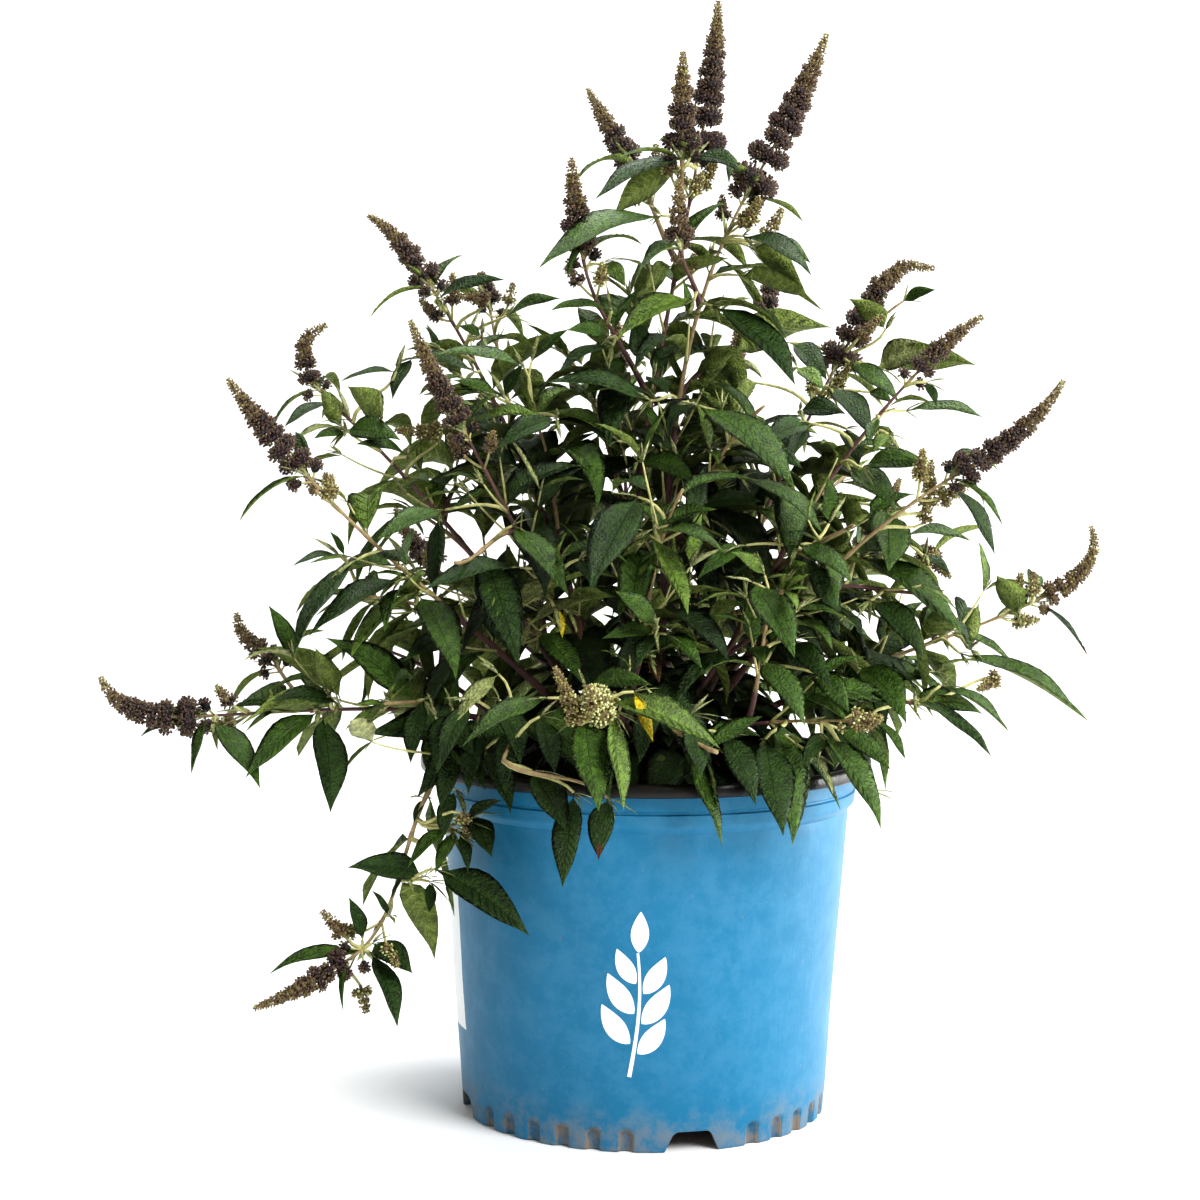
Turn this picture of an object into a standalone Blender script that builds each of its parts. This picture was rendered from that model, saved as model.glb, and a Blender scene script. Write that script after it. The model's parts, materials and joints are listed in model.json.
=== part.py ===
"""A butterfly bush in its nursery pot: the pot, the potting mix in it, the root crown, its boughs and its
masses of leaves and flower spikes, each as one closed solid. Metres, +Z up, -Y towards the viewer.
The origin is the middle of the pot's flat underside, on the ground."""

import math
import random
from collections import namedtuple

import bmesh
import bpy
from mathutils import Matrix, Vector
from mathutils.bvhtree import BVHTree

# Pot
RIM_RADIUS = 0.140
POT_HEIGHT = 0.2205
BASE_RADIUS = 0.1126
SHOULDER_RADIUS = 0.1258
SHOULDER_HEIGHT = 0.190
COLLAR_RADIUS = 0.1298
COLLAR_STEP = 0.004
COLLAR_TAPER = 0.0012
LIP_HEIGHT = 0.008
LIP_WIDTH = 0.0046
LIP_ROUND = 0.003
LIP_SLOPE = 0.0008
WALL = 0.0025
FOOT_RADIUS = 0.0715
CHANNEL_SLOPE = 0.003
CHANNEL_HEIGHT = 0.0155
FOOT_RING = 0.0048
POT_SEGMENTS = 40

# Drain notches and the flutes between them, at equal turns round the foot
NOTCHES = 4
NOTCH_TURN = math.radians(15)
NOTCH_WIDTH = 0.037
NOTCH_TOP_WIDTH = 0.022
NOTCH_HEIGHT = 0.0125
NOTCH_DEPTH = 0.016
CUT_BELOW = 0.004
FLUTES_BETWEEN = 6
FLUTE_PITCH = math.radians(10)
FLUTE_HEIGHT = 0.0145
FLUTE_DEPTH = 0.0024
FLUTE_ROUND = 0.0056

# Potting mix and root crown
MIX_TOP = 0.188
MIX_MOUND = 0.004
MIX_EDGE_DROP = 0.006
MIX_RINGS = (0.085, 0.050)
MIX_LEVEL_RADIUS = 0.030
CROWN_HEIGHT = 0.024
CROWN_PROFILE = ((0.022, 0.0), (0.016, 0.2), (0.013, 0.55), (0.010, 0.9))
STUB_LENGTH = 0.043
STUB_SWELL = 0.5
GAP = 0.0003

# Limbs, leaves and flower spikes
BASE_THICKNESS = 0.0016
THICKNESS_PER_LENGTH = 0.0052
TIP_THICKNESS = 0.0012
BARE_SHARE = 0.26
SHORTEST_BOUGH = 0.032
LIMB_STEP = 0.036
LEAF_STEP = 0.026
LEAF_LENGTH = 0.086
LEAF_WIDTH = 0.32
LEAF_THICKNESS = 0.022
LEAF_WIDEST = 0.42
LEAF_FOLD = 0.10
LEAF_SPREAD = (52, 68)
AXIL_SPREAD = (30, 48)
LEAF_SMALLEST = 0.62
LEAF_TILT = (0.45, 0.75)
FIRST_LEAF = 0.006
AXIL_DROP = 0.004
AXIL_TURN = 0.5
AXIL_SIZE = (0.55, 0.80)
SPIKE_RADIUS = 0.0105
SPIKE_FULL_LENGTH = 0.088
SPIKE_TIP_RADIUS = 0.0016
WHORL_STEP = 0.016
WHORL_PINCH = 0.62
SPIKE_BEND = 2.0
STEM_SIDES = 4
FORK_SIDES = 3
BOUGH_SIDES = 5
STUB_STEP = 0.02
SHORTEST_FORK = 0.12
CLEARANCE = 0.0008

UP = Vector((0, 0, 1))
CROWN_CENTRE = Vector((0, 0, MIX_TOP + CROWN_HEIGHT / 2))
FOOT_OFFSET = 0.008
KNEE_PITCH = -42
LEAVING_PULL = 0.36
ARRIVING_PULL = 0.34

# A cane grows from the crown, or where fork isn't 0 from that share of its mass's first cane. It reaches
# end, leaving at one pitch above the level and arriving at another, and bears a flower spike of the given
# length. The spike bends by curl degrees, up where that is positive. The cane leaves the crown swung round
# by swing degrees from the straight way to its end. One that hangs over the rim first crosses it at knee.
Cane = namedtuple("Cane", "mass fork end leaves arrives spike curl swing knee", defaults=(0, None))
CANES = (
    Cane("leader", 0, (0.030, 0.010, 0.594), 80, 80, 0.092, 8, 130),
    Cane("leader", 0.80, (0.019, -0.022, 0.590), 60, 80, 0.058, 10),
    Cane("leader", 0.76, (-0.012, 0.032, 0.588), 50, 50, 0.060, 6),
    Cane("leader", 0.46, (-0.041, -0.028, 0.529), 62, 80, 0.056, 6),
    Cane("leader", 0.20, (-0.052, 0.052, 0.468), 60, 40, 0.0, 0),
    Cane("right_leader", 0, (0.061, -0.002, 0.569), 78, 60, 0.104, 8, -60),
    Cane("right_leader", 0.72, (0.018, -0.045, 0.534), 62, 82, 0.036, 10),
    Cane("right_leader", 0.50, (0.075, 0.085, 0.500), 55, 66, 0.040, 12),
    Cane("right_leader", 0.14, (0.068, -0.072, 0.436), 56, 30, 0.0, 0),
    Cane("upper_left", 0, (-0.142, 0.060, 0.515), 70, 54, 0.060, -16),
    Cane("upper_left", 0.52, (-0.105, 0.100, 0.503), 62, 58, 0.034, -50),
    Cane("upper_left", 0.16, (-0.070, -0.020, 0.428), 60, 40, 0.0, 0),
    Cane("left_front", 0, (-0.111, -0.070, 0.424), 66, 58, 0.068, 8),
    Cane("left_front", 0.30, (-0.052, -0.112, 0.345), 55, 30, 0.0, 0),
    Cane("left_front", 0.55, (-0.110, -0.120, 0.345), 40, 10, 0.0, 0),
    Cane("left_back", 0, (-0.212, 0.030, 0.449), 58, 42, 0.044, 95),
    Cane("left_back", 0.50, (-0.115, 0.135, 0.410), 50, 62, 0.046, 12),
    Cane("left_back", 0.24, (-0.150, 0.060, 0.368), 46, 20, 0.0, 0),
    Cane("left_back", 0.06, (-0.072, 0.078, 0.322), 44, 24, 0.0, 0),
    Cane("left", 0, (-0.203, -0.090, 0.398), 50, 48, 0.066, 6),
    Cane("left", 0.34, (-0.168, -0.050, 0.320), 34, 6, 0.0, 0),
    Cane("low_left", 0, (-0.270, -0.060, 0.248), 40, -2, 0.066, 70),
    Cane("low_left", 0.66, (-0.232, 0.002, 0.276), 20, 36, 0.040, 40),
    Cane("low_left", 0.20, (-0.152, -0.108, 0.262), 24, 4, 0.0, 0),
    Cane("low_left", 0.10, (-0.168, 0.042, 0.280), 30, 8, 0.0, 0),
    Cane("hanging_left", 0, (-0.172, -0.122, 0.114), 40, -22, 0.062, 14, 0, (-0.116, -0.094, 0.226)),
    Cane("hanging_left", 0.06, (-0.080, -0.156, 0.236), 20, -20, 0.0, 0),
    Cane("right_upper", 0, (0.119, 0.040, 0.464), 68, 60, 0.102, -96),
    Cane("right_upper", 0.48, (0.060, 0.125, 0.445), 60, 72, 0.050, 12),
    Cane("right_upper", 0.30, (0.128, 0.080, 0.392), 44, 30, 0.0, 0),
    Cane("right", 0, (0.160, -0.050, 0.457), 62, 46, 0.050, 26),
    Cane("right", 0.26, (0.118, -0.112, 0.368), 46, 20, 0.0, 0),
    Cane("right_front", 0, (0.181, -0.090, 0.398), 54, 30, 0.082, 44),
    Cane("right_front", 0.40, (0.176, -0.060, 0.326), 30, 8, 0.0, 0),
    Cane("low_right", 0, (0.249, 0.020, 0.319), 44, 26, 0.058, 52),
    Cane("low_right", 0.62, (0.182, 0.080, 0.340), 40, 10, 0.030, -50),
    Cane("low_right", 0.08, (0.164, -0.048, 0.258), 26, -4, 0.0, 0),
    Cane("front_right", 0, (0.119, -0.130, 0.257), 46, 4, 0.020, 20, -40),
    Cane("front_right", 0.30, (0.078, -0.118, 0.330), 50, 20, 0.0, 0),
    Cane("front", 0, (-0.026, -0.165, 0.268), 54, 12, 0.036, 34),
    Cane("front", 0.16, (0.020, -0.120, 0.388), 66, 50, 0.0, 0),
    Cane("front", 0.42, (0.040, -0.160, 0.242), 10, -12, 0.0, 0),
    Cane("inner_left", 0, (-0.058, -0.066, 0.322), 66, 46, 0.0, 0, 14),
    Cane("inner_left", 0.20, (-0.096, -0.020, 0.306), 44, 20, 0.0, 0),
    Cane("inner_right", 0, (0.078, -0.052, 0.326), 62, 46, 0.0, 0, -24),
    Cane("inner_right", 0.20, (0.100, 0.010, 0.312), 40, 24, 0.0, 0),
    Cane("inner_back", 0, (0.042, 0.088, 0.352), 66, 56, 0.0, 0),
    Cane("inner_back", 0.20, (0.090, 0.066, 0.318), 44, 30, 0.0, 0),
    Cane("back", 0, (-0.020, 0.150, 0.452), 72, 64, 0.056, 10),
    Cane("back", 0.34, (0.035, 0.160, 0.375), 50, 34, 0.0, 0),
    Cane("back_right", 0, (0.150, 0.165, 0.352), 52, 36, 0.052, 26),
    Cane("back_right", 0.20, (0.158, 0.085, 0.268), 30, 2, 0.0, 0),
    Cane("back_low", 0, (0.024, 0.232, 0.300), 50, 16, 0.050, 36),
    Cane("back_low", 0.24, (0.082, 0.172, 0.262), 30, 4, 0.0, 0),
    Cane("back_left", 0, (-0.150, 0.172, 0.330), 50, 30, 0.054, 30),
    Cane("back_left", 0.22, (-0.070, 0.178, 0.268), 30, 6, 0.0, 0),
)
MASSES = tuple(dict.fromkeys(cane.mass for cane in CANES))

Leaf = namedtuple("Leaf", "root way face length width droop")


class Path:
    """A smooth line, read by its length."""

    def __init__(self, points):
        self.points = points
        self.marks = [0.0]
        for a, b in zip(points, points[1:]):
            self.marks.append(self.marks[-1] + (b - a).length)
        self.length = self.marks[-1]

    def at(self, distance):
        """The point and the direction at a distance from the start."""
        distance = min(max(distance, 0.0), self.length)
        index = 1
        while index < len(self.marks) - 1 and self.marks[index] < distance:
            index += 1
        start, end = self.points[index - 1], self.points[index]
        span = self.marks[index] - self.marks[index - 1]
        return start.lerp(end, (distance - self.marks[index - 1]) / span), (end - start).normalized()


def sloped(azimuth, pitch):
    """The direction at an azimuth, from +X towards +Y, and a pitch above the level, both in radians."""
    return Vector((math.cos(azimuth) * math.cos(pitch), math.sin(azimuth) * math.cos(pitch), math.sin(pitch)))


def cubic(start, start_way, end, end_way, count=36):
    """Points of a smooth line from start to end that leaves and arrives along those directions."""
    chord = (end - start).length
    first = start + start_way * chord * LEAVING_PULL
    second = end - end_way * chord * ARRIVING_PULL
    points = []
    for i in range(count + 1):
        t = i / count
        a = start.lerp(first, t).lerp(first.lerp(second, t), t)
        b = first.lerp(second, t).lerp(second.lerp(end, t), t)
        points.append(a.lerp(b, t))
    return points


def cane_path(start, cane, offset):
    """A cane's line from near start to its end, at the cane's pitches at the two."""
    end = Vector(cane.end)
    azimuth = math.atan2(end.y - start.y, end.x - start.x)
    foot = azimuth + math.radians(cane.swing)
    start = start + sloped(foot, 0) * offset
    leaving = sloped(foot, math.radians(cane.leaves))
    arriving = sloped(azimuth, math.radians(cane.arrives))
    if cane.knee is None:
        return Path(cubic(start, leaving, end, arriving))
    knee = Vector(cane.knee)
    over = sloped(azimuth, math.radians(KNEE_PITCH))
    return Path(cubic(start, leaving, knee, over) + cubic(knee, over, end, arriving)[1:])


def spike_line(path, length, curl, count=12):
    """The line of a flower spike, which goes on from the end of its cane and bends as it goes."""
    point, way = path.at(path.length)
    side = Vector((way.x, way.y, 0)).cross(UP)
    axis = side.normalized() if side.length > 0.05 else Vector((0, -1, 0))
    points = [point]
    for i in range(count):
        turned = Matrix.Rotation(math.radians(curl) * ((i + 1) / count) ** SPIKE_BEND, 3, axis) @ way
        points.append(points[-1] + turned * length / count)
    return Path(points)


def mesh_object(name, shape, *materials):
    """A bmesh as an object of that name in the scene."""
    mesh = bpy.data.meshes.new(name)
    shape.to_mesh(mesh)
    shape.free()
    for material in materials:
        mesh.materials.append(material)
    obj = bpy.data.objects.new(name, mesh)
    bpy.context.scene.collection.objects.link(obj)
    return obj


def material(name, colour, roughness):
    made = bpy.data.materials.new(name)
    made.use_nodes = True
    shader = made.node_tree.nodes["Principled BSDF"]
    shader.inputs["Base Color"].default_value = (*colour, 1.0)
    shader.inputs["Roughness"].default_value = roughness
    shader.inputs["Metallic"].default_value = 0.0
    return made


def turned(profile, segments, rise=lambda radius, angle: 0.0):
    """A closed profile of radius and height, taken round the Z axis. Points on the axis close it."""
    shape = bmesh.new()
    rings = []
    for radius, height in profile:
        if radius == 0:
            rings.append([shape.verts.new((0, 0, height))])
            continue
        ring = []
        for i in range(segments):
            angle = 2 * math.pi * i / segments
            spot = (radius * math.cos(angle), radius * math.sin(angle), height + rise(radius, angle))
            ring.append(shape.verts.new(spot))
        rings.append(ring)
    for low, high in zip(rings, rings[1:]):
        for i in range(segments):
            j = (i + 1) % segments
            corners = [low[i % len(low)], low[j % len(low)], high[j % len(high)], high[i % len(high)]]
            shape.faces.new(list(dict.fromkeys(corners)))
    return shape


def tube(stations, radii, sides):
    """A closed limb round a line of stations, each a point and a direction, with flat ends square to the line."""
    shape = bmesh.new()
    side = stations[0][1].orthogonal().normalized()
    rings = []
    for (point, way), radius in zip(stations, radii):
        side = (side - way * side.dot(way)).normalized()
        other = way.cross(side)
        ring = []
        for i in range(sides):
            angle = 2 * math.pi * i / sides
            ring.append(shape.verts.new(point + (side * math.cos(angle) + other * math.sin(angle)) * radius))
        rings.append(ring)
    shape.faces.new(rings[0][::-1])
    shape.faces.new(rings[-1])
    for low, high in zip(rings, rings[1:]):
        for i in range(sides):
            j = (i + 1) % sides
            shape.faces.new((low[i], low[j], high[j], high[i]))
    return shape


def even(start, end, step):
    """Distances from start to end, about step apart."""
    count = max(1, round((end - start) / step))
    return [start + (end - start) * i / count for i in range(count + 1)]


def cane_radius(path_length, distance):
    """How thick a cane of that length is at a distance from its foot."""
    foot = BASE_THICKNESS + THICKNESS_PER_LENGTH * path_length
    return foot + (TIP_THICKNESS - foot) * min(1.0, distance / path_length)


def bent(way, droop):
    return (way - UP * droop).normalized()


def leaf_corners(leaf, spare=0.0):
    """A leaf's root, two sides, tip and the middles of its upper and lower face, grown by spare all round."""
    first = bent(leaf.way, 0.2 * leaf.droop)
    last = bent(leaf.way, leaf.droop)
    middle = leaf.root + first * leaf.length * LEAF_WIDEST
    tip = middle + last * (leaf.length * (1 - LEAF_WIDEST) + spare)
    across = first.cross(leaf.face).normalized()
    upward = across.cross((first + last).normalized()).normalized()
    half = leaf.width / 2 + spare
    thick = leaf.length * LEAF_THICKNESS / 2 + spare
    lift = upward * leaf.width * LEAF_FOLD
    root = leaf.root + first * spare * 4
    return [
        root,
        middle - across * half + lift,
        middle + across * half + lift,
        tip,
        middle + upward * thick,
        middle - upward * thick,
    ]


LEAF_FACES = ((0, 4, 1), (0, 2, 4), (3, 1, 4), (3, 4, 2), (0, 1, 5), (0, 5, 2), (3, 5, 1), (3, 2, 5))


def leaf_solid(leaf):
    shape = bmesh.new()
    verts = [shape.verts.new(corner) for corner in leaf_corners(leaf)]
    for face in LEAF_FACES:
        shape.faces.new([verts[i] for i in face]).material_index = 1
    bmesh.ops.recalc_face_normals(shape, faces=shape.faces)
    return shape


class Room:
    """What is taken already: each limb and leaf, with the sphere round it, so that a new one can be tested."""

    def __init__(self):
        self.taken = []

    def add(self, shape, owner=None):
        tree = BVHTree.FromBMesh(shape)
        low = Vector([min(v.co[i] for v in shape.verts) for i in range(3)])
        high = Vector([max(v.co[i] for v in shape.verts) for i in range(3)])
        self.taken.append((owner, tree, (low + high) / 2, (high - low).length / 2))

    def free_for(self, corners, faces, owner=None):
        """Whether a shape of these corners and faces touches nothing but the limb that it grows from."""
        centre = sum(corners, Vector()) / len(corners)
        reach = max((corner - centre).length for corner in corners)
        tree = BVHTree.FromPolygons(corners, faces)
        for other, taken, middle, size in self.taken:
            if (other is None or other is not owner) and (middle - centre).length < size + reach:
                if taken.overlap(tree):
                    return False
        return True


def inner_radius(height):
    """The radius of the pot's inner wall at a height below its shoulder."""
    return BASE_RADIUS + (SHOULDER_RADIUS - BASE_RADIUS) * height / SHOULDER_HEIGHT - WALL


def pot():
    """The pot: a tapered wall with a stepped collar and a rolled lip, a raised drain channel and a flat foot."""
    collar_bottom = SHOULDER_HEIGHT + COLLAR_STEP
    collar_top = POT_HEIGHT - LIP_HEIGHT
    channel_edge = FOOT_RADIUS + CHANNEL_SLOPE
    floor = CHANNEL_HEIGHT + WALL
    neck = COLLAR_RADIUS + COLLAR_TAPER
    lip = RIM_RADIUS - LIP_ROUND
    profile = [
        (0, 0),
        (FOOT_RADIUS, 0),
        (channel_edge, CHANNEL_HEIGHT),
        (BASE_RADIUS - FOOT_RING, CHANNEL_HEIGHT),
        (BASE_RADIUS - FOOT_RING, 0),
        (BASE_RADIUS, 0),
        (SHOULDER_RADIUS, SHOULDER_HEIGHT),
        (COLLAR_RADIUS, collar_bottom),
        (neck, collar_top),
        (RIM_RADIUS, collar_top + LIP_SLOPE),
        (lip, POT_HEIGHT),
        (lip - LIP_WIDTH, POT_HEIGHT),
        (neck - WALL, collar_top),
        (COLLAR_RADIUS - WALL, collar_bottom),
        (SHOULDER_RADIUS - WALL, SHOULDER_HEIGHT),
        (inner_radius(floor), floor),
        (channel_edge - WALL, floor),
        (FOOT_RADIUS - WALL, WALL),
        (0, WALL),
    ]
    shape = turned(profile, POT_SEGMENTS)
    bmesh.ops.recalc_face_normals(shape, faces=shape.faces)
    for face in shape.faces:
        middle = face.calc_center_median()
        inside = Vector((middle.x, middle.y, 0)).dot(face.normal) < 0 and middle.z > floor
        face.material_index = int(inside or middle.z > collar_top)
    shell = mesh_object(
        "pot",
        shape,
        material("pot_blue", (0.055, 0.275, 0.50), 0.42),
        material("pot_black", (0.012, 0.011, 0.011), 0.5),
    )
    cut(shell, foot_cutters(), "foot_cuts")
    shell.data.shade_smooth()
    shell.data.set_sharp_from_angle(angle=math.radians(35))
    return shell


def foot_cutters():
    """A round-topped cutter for each flute and a tapered block for each drain notch."""
    shape = bmesh.new()
    reach = BASE_RADIUS + FLUTE_ROUND - FLUTE_DEPTH
    shoulder = FLUTE_HEIGHT - math.sqrt(FLUTE_ROUND**2 - (FLUTE_ROUND - FLUTE_DEPTH) ** 2)
    capsule = [(0, -CUT_BELOW), (FLUTE_ROUND, -CUT_BELOW), (FLUTE_ROUND, shoulder)]
    for bend in (30, 60):
        tip = math.radians(bend)
        capsule.append((FLUTE_ROUND * math.cos(tip), shoulder + FLUTE_ROUND * math.sin(tip)))
    capsule.append((0, shoulder + FLUTE_ROUND))
    lean = Matrix.Rotation(math.atan((SHOULDER_RADIUS - BASE_RADIUS) / SHOULDER_HEIGHT), 4, "Y")
    for notch in range(NOTCHES):
        middle = NOTCH_TURN - math.pi / 2 + notch * 2 * math.pi / NOTCHES
        first = middle + math.pi / NOTCHES - FLUTE_PITCH * (FLUTES_BETWEEN - 1) / 2
        for flute in range(FLUTES_BETWEEN):
            turn = Matrix.Rotation(first + flute * FLUTE_PITCH, 4, "Z")
            cutter = turned(capsule, 10)
            cutter.transform(turn @ Matrix.Translation((reach, 0, 0)) @ lean)
            add_to(shape, cutter)
        block = bmesh.new()
        bmesh.ops.create_cube(block, size=1)
        for vert in block.verts:
            width = NOTCH_TOP_WIDTH if vert.co.z > 0 else NOTCH_WIDTH
            height = NOTCH_HEIGHT if vert.co.z > 0 else -CUT_BELOW
            vert.co = (BASE_RADIUS + vert.co.x * NOTCH_DEPTH, vert.co.y * width, height)
        block.transform(Matrix.Rotation(middle, 4, "Z"))
        add_to(shape, block)
    bmesh.ops.recalc_face_normals(shape, faces=shape.faces)
    return shape


def add_to(shape, other):
    """Adds another bmesh's shape to the first."""
    mesh = bpy.data.meshes.new("joined")
    other.to_mesh(mesh)
    other.free()
    shape.from_mesh(mesh)
    bpy.data.meshes.remove(mesh)


def cut(obj, cutter_shape, name):
    """Cuts a shape from an object with a Boolean and applies it."""
    cutter = mesh_object(name, cutter_shape)
    cutter.hide_render = True
    cutter.display_type = "WIRE"
    difference = obj.modifiers.new(name, "BOOLEAN")
    difference.operation = "DIFFERENCE"
    difference.solver = "EXACT"
    difference.object = cutter
    apply_modifiers(obj)
    bpy.data.objects.remove(cutter)


def apply_modifiers(obj):
    """Makes the evaluated mesh the object's own."""
    graph = bpy.context.evaluated_depsgraph_get()
    obj.data = bpy.data.meshes.new_from_object(obj.evaluated_get(graph))
    obj.modifiers.clear()


def potting_mix():
    """The mix that fills the pot, a gap clear of its wall, with a low uneven mound round the crown."""
    floor = CHANNEL_HEIGHT + WALL + GAP
    edge = MIX_TOP - MIX_EDGE_DROP
    profile = [
        (0, WALL + GAP),
        (FOOT_RADIUS - WALL - 2 * GAP, WALL + GAP),
        (FOOT_RADIUS + CHANNEL_SLOPE - WALL - GAP, floor),
        (inner_radius(floor) - GAP, floor),
        (inner_radius(edge) - GAP, edge),
    ]
    profile += [(radius, MIX_TOP) for radius in MIX_RINGS]
    profile += [(MIX_LEVEL_RADIUS, MIX_TOP), (0, MIX_TOP)]

    def rise(radius, angle):
        if radius not in MIX_RINGS:
            return 0.0
        return MIX_MOUND * (math.sin(3 * angle + 40 * radius) + math.sin(5 * angle)) * 0.25 - MIX_MOUND * 0.5

    shape = turned(profile, POT_SEGMENTS, rise)
    bmesh.ops.recalc_face_normals(shape, faces=shape.faces)
    return mesh_object("potting_mix", shape, material("potting_mix", (0.030, 0.020, 0.014), 0.95))


def root_crown(paths, bark):
    """The short woody stem: a flat cut on the mix, a root flare, and a stub for each bough."""
    cut_height = MIX_TOP + GAP
    profile = [(0, cut_height)]
    profile += [(radius, cut_height + CROWN_HEIGHT * share) for radius, share in CROWN_PROFILE]
    profile.append((0, cut_height + CROWN_HEIGHT))
    flare = turned(profile, 10)
    bmesh.ops.recalc_face_normals(flare, faces=flare.faces)
    stubs = []
    for path in paths.values():
        distances = even(0, STUB_LENGTH, STUB_STEP)
        thick = cane_radius(path.length, STUB_LENGTH)
        radii = [thick * (1 + STUB_SWELL * (1 - distance / STUB_LENGTH)) for distance in distances]
        stubs.append(tube([path.at(distance) for distance in distances], radii, BOUGH_SIDES))
    return joined("root_crown", flare, stubs, (bark,))


def joined(name, first, others, materials):
    """One closed solid from a shape and those that grow from it, by one union on their collection."""
    obj = mesh_object(name, first, *materials)
    group = bpy.data.collections.new(name + "_parts")
    bpy.context.scene.collection.children.link(group)
    for i, shape in enumerate(others):
        mesh = bpy.data.meshes.new(f"{name}_part_{i}")
        shape.to_mesh(mesh)
        shape.free()
        for made in materials:
            mesh.materials.append(made)
        group.objects.link(bpy.data.objects.new(mesh.name, mesh))
    union = obj.modifiers.new("union", "BOOLEAN")
    union.operation = "UNION"
    union.operand_type = "COLLECTION"
    union.collection = group
    union.solver = "MANIFOLD"
    bpy.context.view_layer.update()
    apply_modifiers(obj)
    for part in list(group.objects):
        bpy.data.objects.remove(part)
    bpy.data.collections.remove(group)
    keep_main_body(obj)
    return obj


def keep_main_body(obj):
    """Drops loose scraps, and the walls of any hollow that the union sealed, from a solid."""
    shape = bmesh.new()
    shape.from_mesh(obj.data)
    unseen = set(shape.verts)
    bodies = []
    while unseen:
        body = {unseen.pop()}
        edge = list(body)
        while edge:
            for link in edge.pop().link_edges:
                for vert in link.verts:
                    if vert in unseen:
                        unseen.remove(vert)
                        body.add(vert)
                        edge.append(vert)
        bodies.append(body)
    bodies.sort(key=len)
    loose = [vert for body in bodies[:-1] for vert in body]
    bmesh.ops.delete(shape, geom=loose, context="VERTS")
    shape.to_mesh(obj.data)
    shape.free()


def spike_radii(length, distances):
    """A flower spike's outline: whorls that swell and pinch, over a cone that narrows to the tip."""
    radii = []
    for distance in distances:
        share = distance / length
        fullness = min(1.0, 0.5 + 0.5 * length / SPIKE_FULL_LENGTH)
        cone = SPIKE_RADIUS * fullness * max(0.0, 1.0 - share) ** 0.75
        whorl = 1.0 if round(distance / (WHORL_STEP / 2)) % 2 else WHORL_PINCH
        radii.append(max(SPIKE_TIP_RADIUS, cone * whorl))
    return radii


def stem_and_spike(path, start, foot_length, spike, curl, sides):
    """A cane from a distance along its path to its end, and its flower spike, as one closed limb."""
    distances = even(start, path.length, LIMB_STEP)
    stations = [path.at(distance) for distance in distances]
    radii = [cane_radius(foot_length, distance) for distance in distances]
    if spike:
        line = spike_line(path, spike, curl)
        distances = even(0, spike, WHORL_STEP / 2)[1:]
        stations += [line.at(distance) for distance in distances]
        radii += spike_radii(spike, distances)
    return tube(stations, radii, sides)


def leaf_at(path, distance, turn, length, spreads, rng):
    """A leaf that leaves a cane at a turn round it, faces the light and droops with its length."""
    root, way = path.at(distance)
    side = way.orthogonal().normalized()
    out = Matrix.Rotation(turn, 3, way) @ side
    spread = math.radians(rng.uniform(*spreads))
    leaving = (way * math.cos(spread) + out * math.sin(spread)).normalized()
    inner = way * math.sin(spread) - out * math.cos(spread)
    sky = UP - leaving * leaving.z
    face = (inner * LEAF_TILT[0] + sky * LEAF_TILT[1]).normalized()
    width = length * LEAF_WIDTH * rng.uniform(0.9, 1.1)
    return Leaf(root, leaving, face, length, width, rng.uniform(0.5, 1.2) * length / LEAF_LENGTH)


def leaf_length(share, rng):
    """Leaves are longest over the middle of a cane, and small below the flower spike, where share is 0."""
    fullness = math.sin(math.pi * min(1.0, 1.15 - share)) ** 0.8
    return LEAF_LENGTH * (LEAF_SMALLEST + (1 - LEAF_SMALLEST) * fullness) * rng.uniform(0.9, 1.08)


def main():
    for old in list(bpy.data.objects):
        bpy.data.objects.remove(old)
    bark = material("bark", (0.085, 0.050, 0.034), 0.8)
    green = material("leaf_green", (0.045, 0.125, 0.030), 0.6)

    firsts = {}
    for cane in CANES:
        if not cane.fork:
            firsts[cane.mass] = cane_path(CROWN_CENTRE, cane, FOOT_OFFSET)
    starts = {}
    for mass, path in firsts.items():
        starts[mass] = max(path.length * BARE_SHARE, STUB_LENGTH + SHORTEST_BOUGH)

    room = Room()
    for obj in (pot(), potting_mix(), root_crown(firsts, bark)):
        shape = bmesh.new()
        shape.from_mesh(obj.data)
        room.add(shape)
        shape.free()
    for mass, path in firsts.items():
        distances = even(STUB_LENGTH + GAP, starts[mass] - GAP, LIMB_STEP)
        radii = [cane_radius(path.length, distance) for distance in distances]
        bough = tube([path.at(distance) for distance in distances], radii, BOUGH_SIDES)
        room.add(bough)
        mesh_object("bough_" + mass, bough, bark)

    grow_masses(firsts, starts, room, bark, green)


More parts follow.
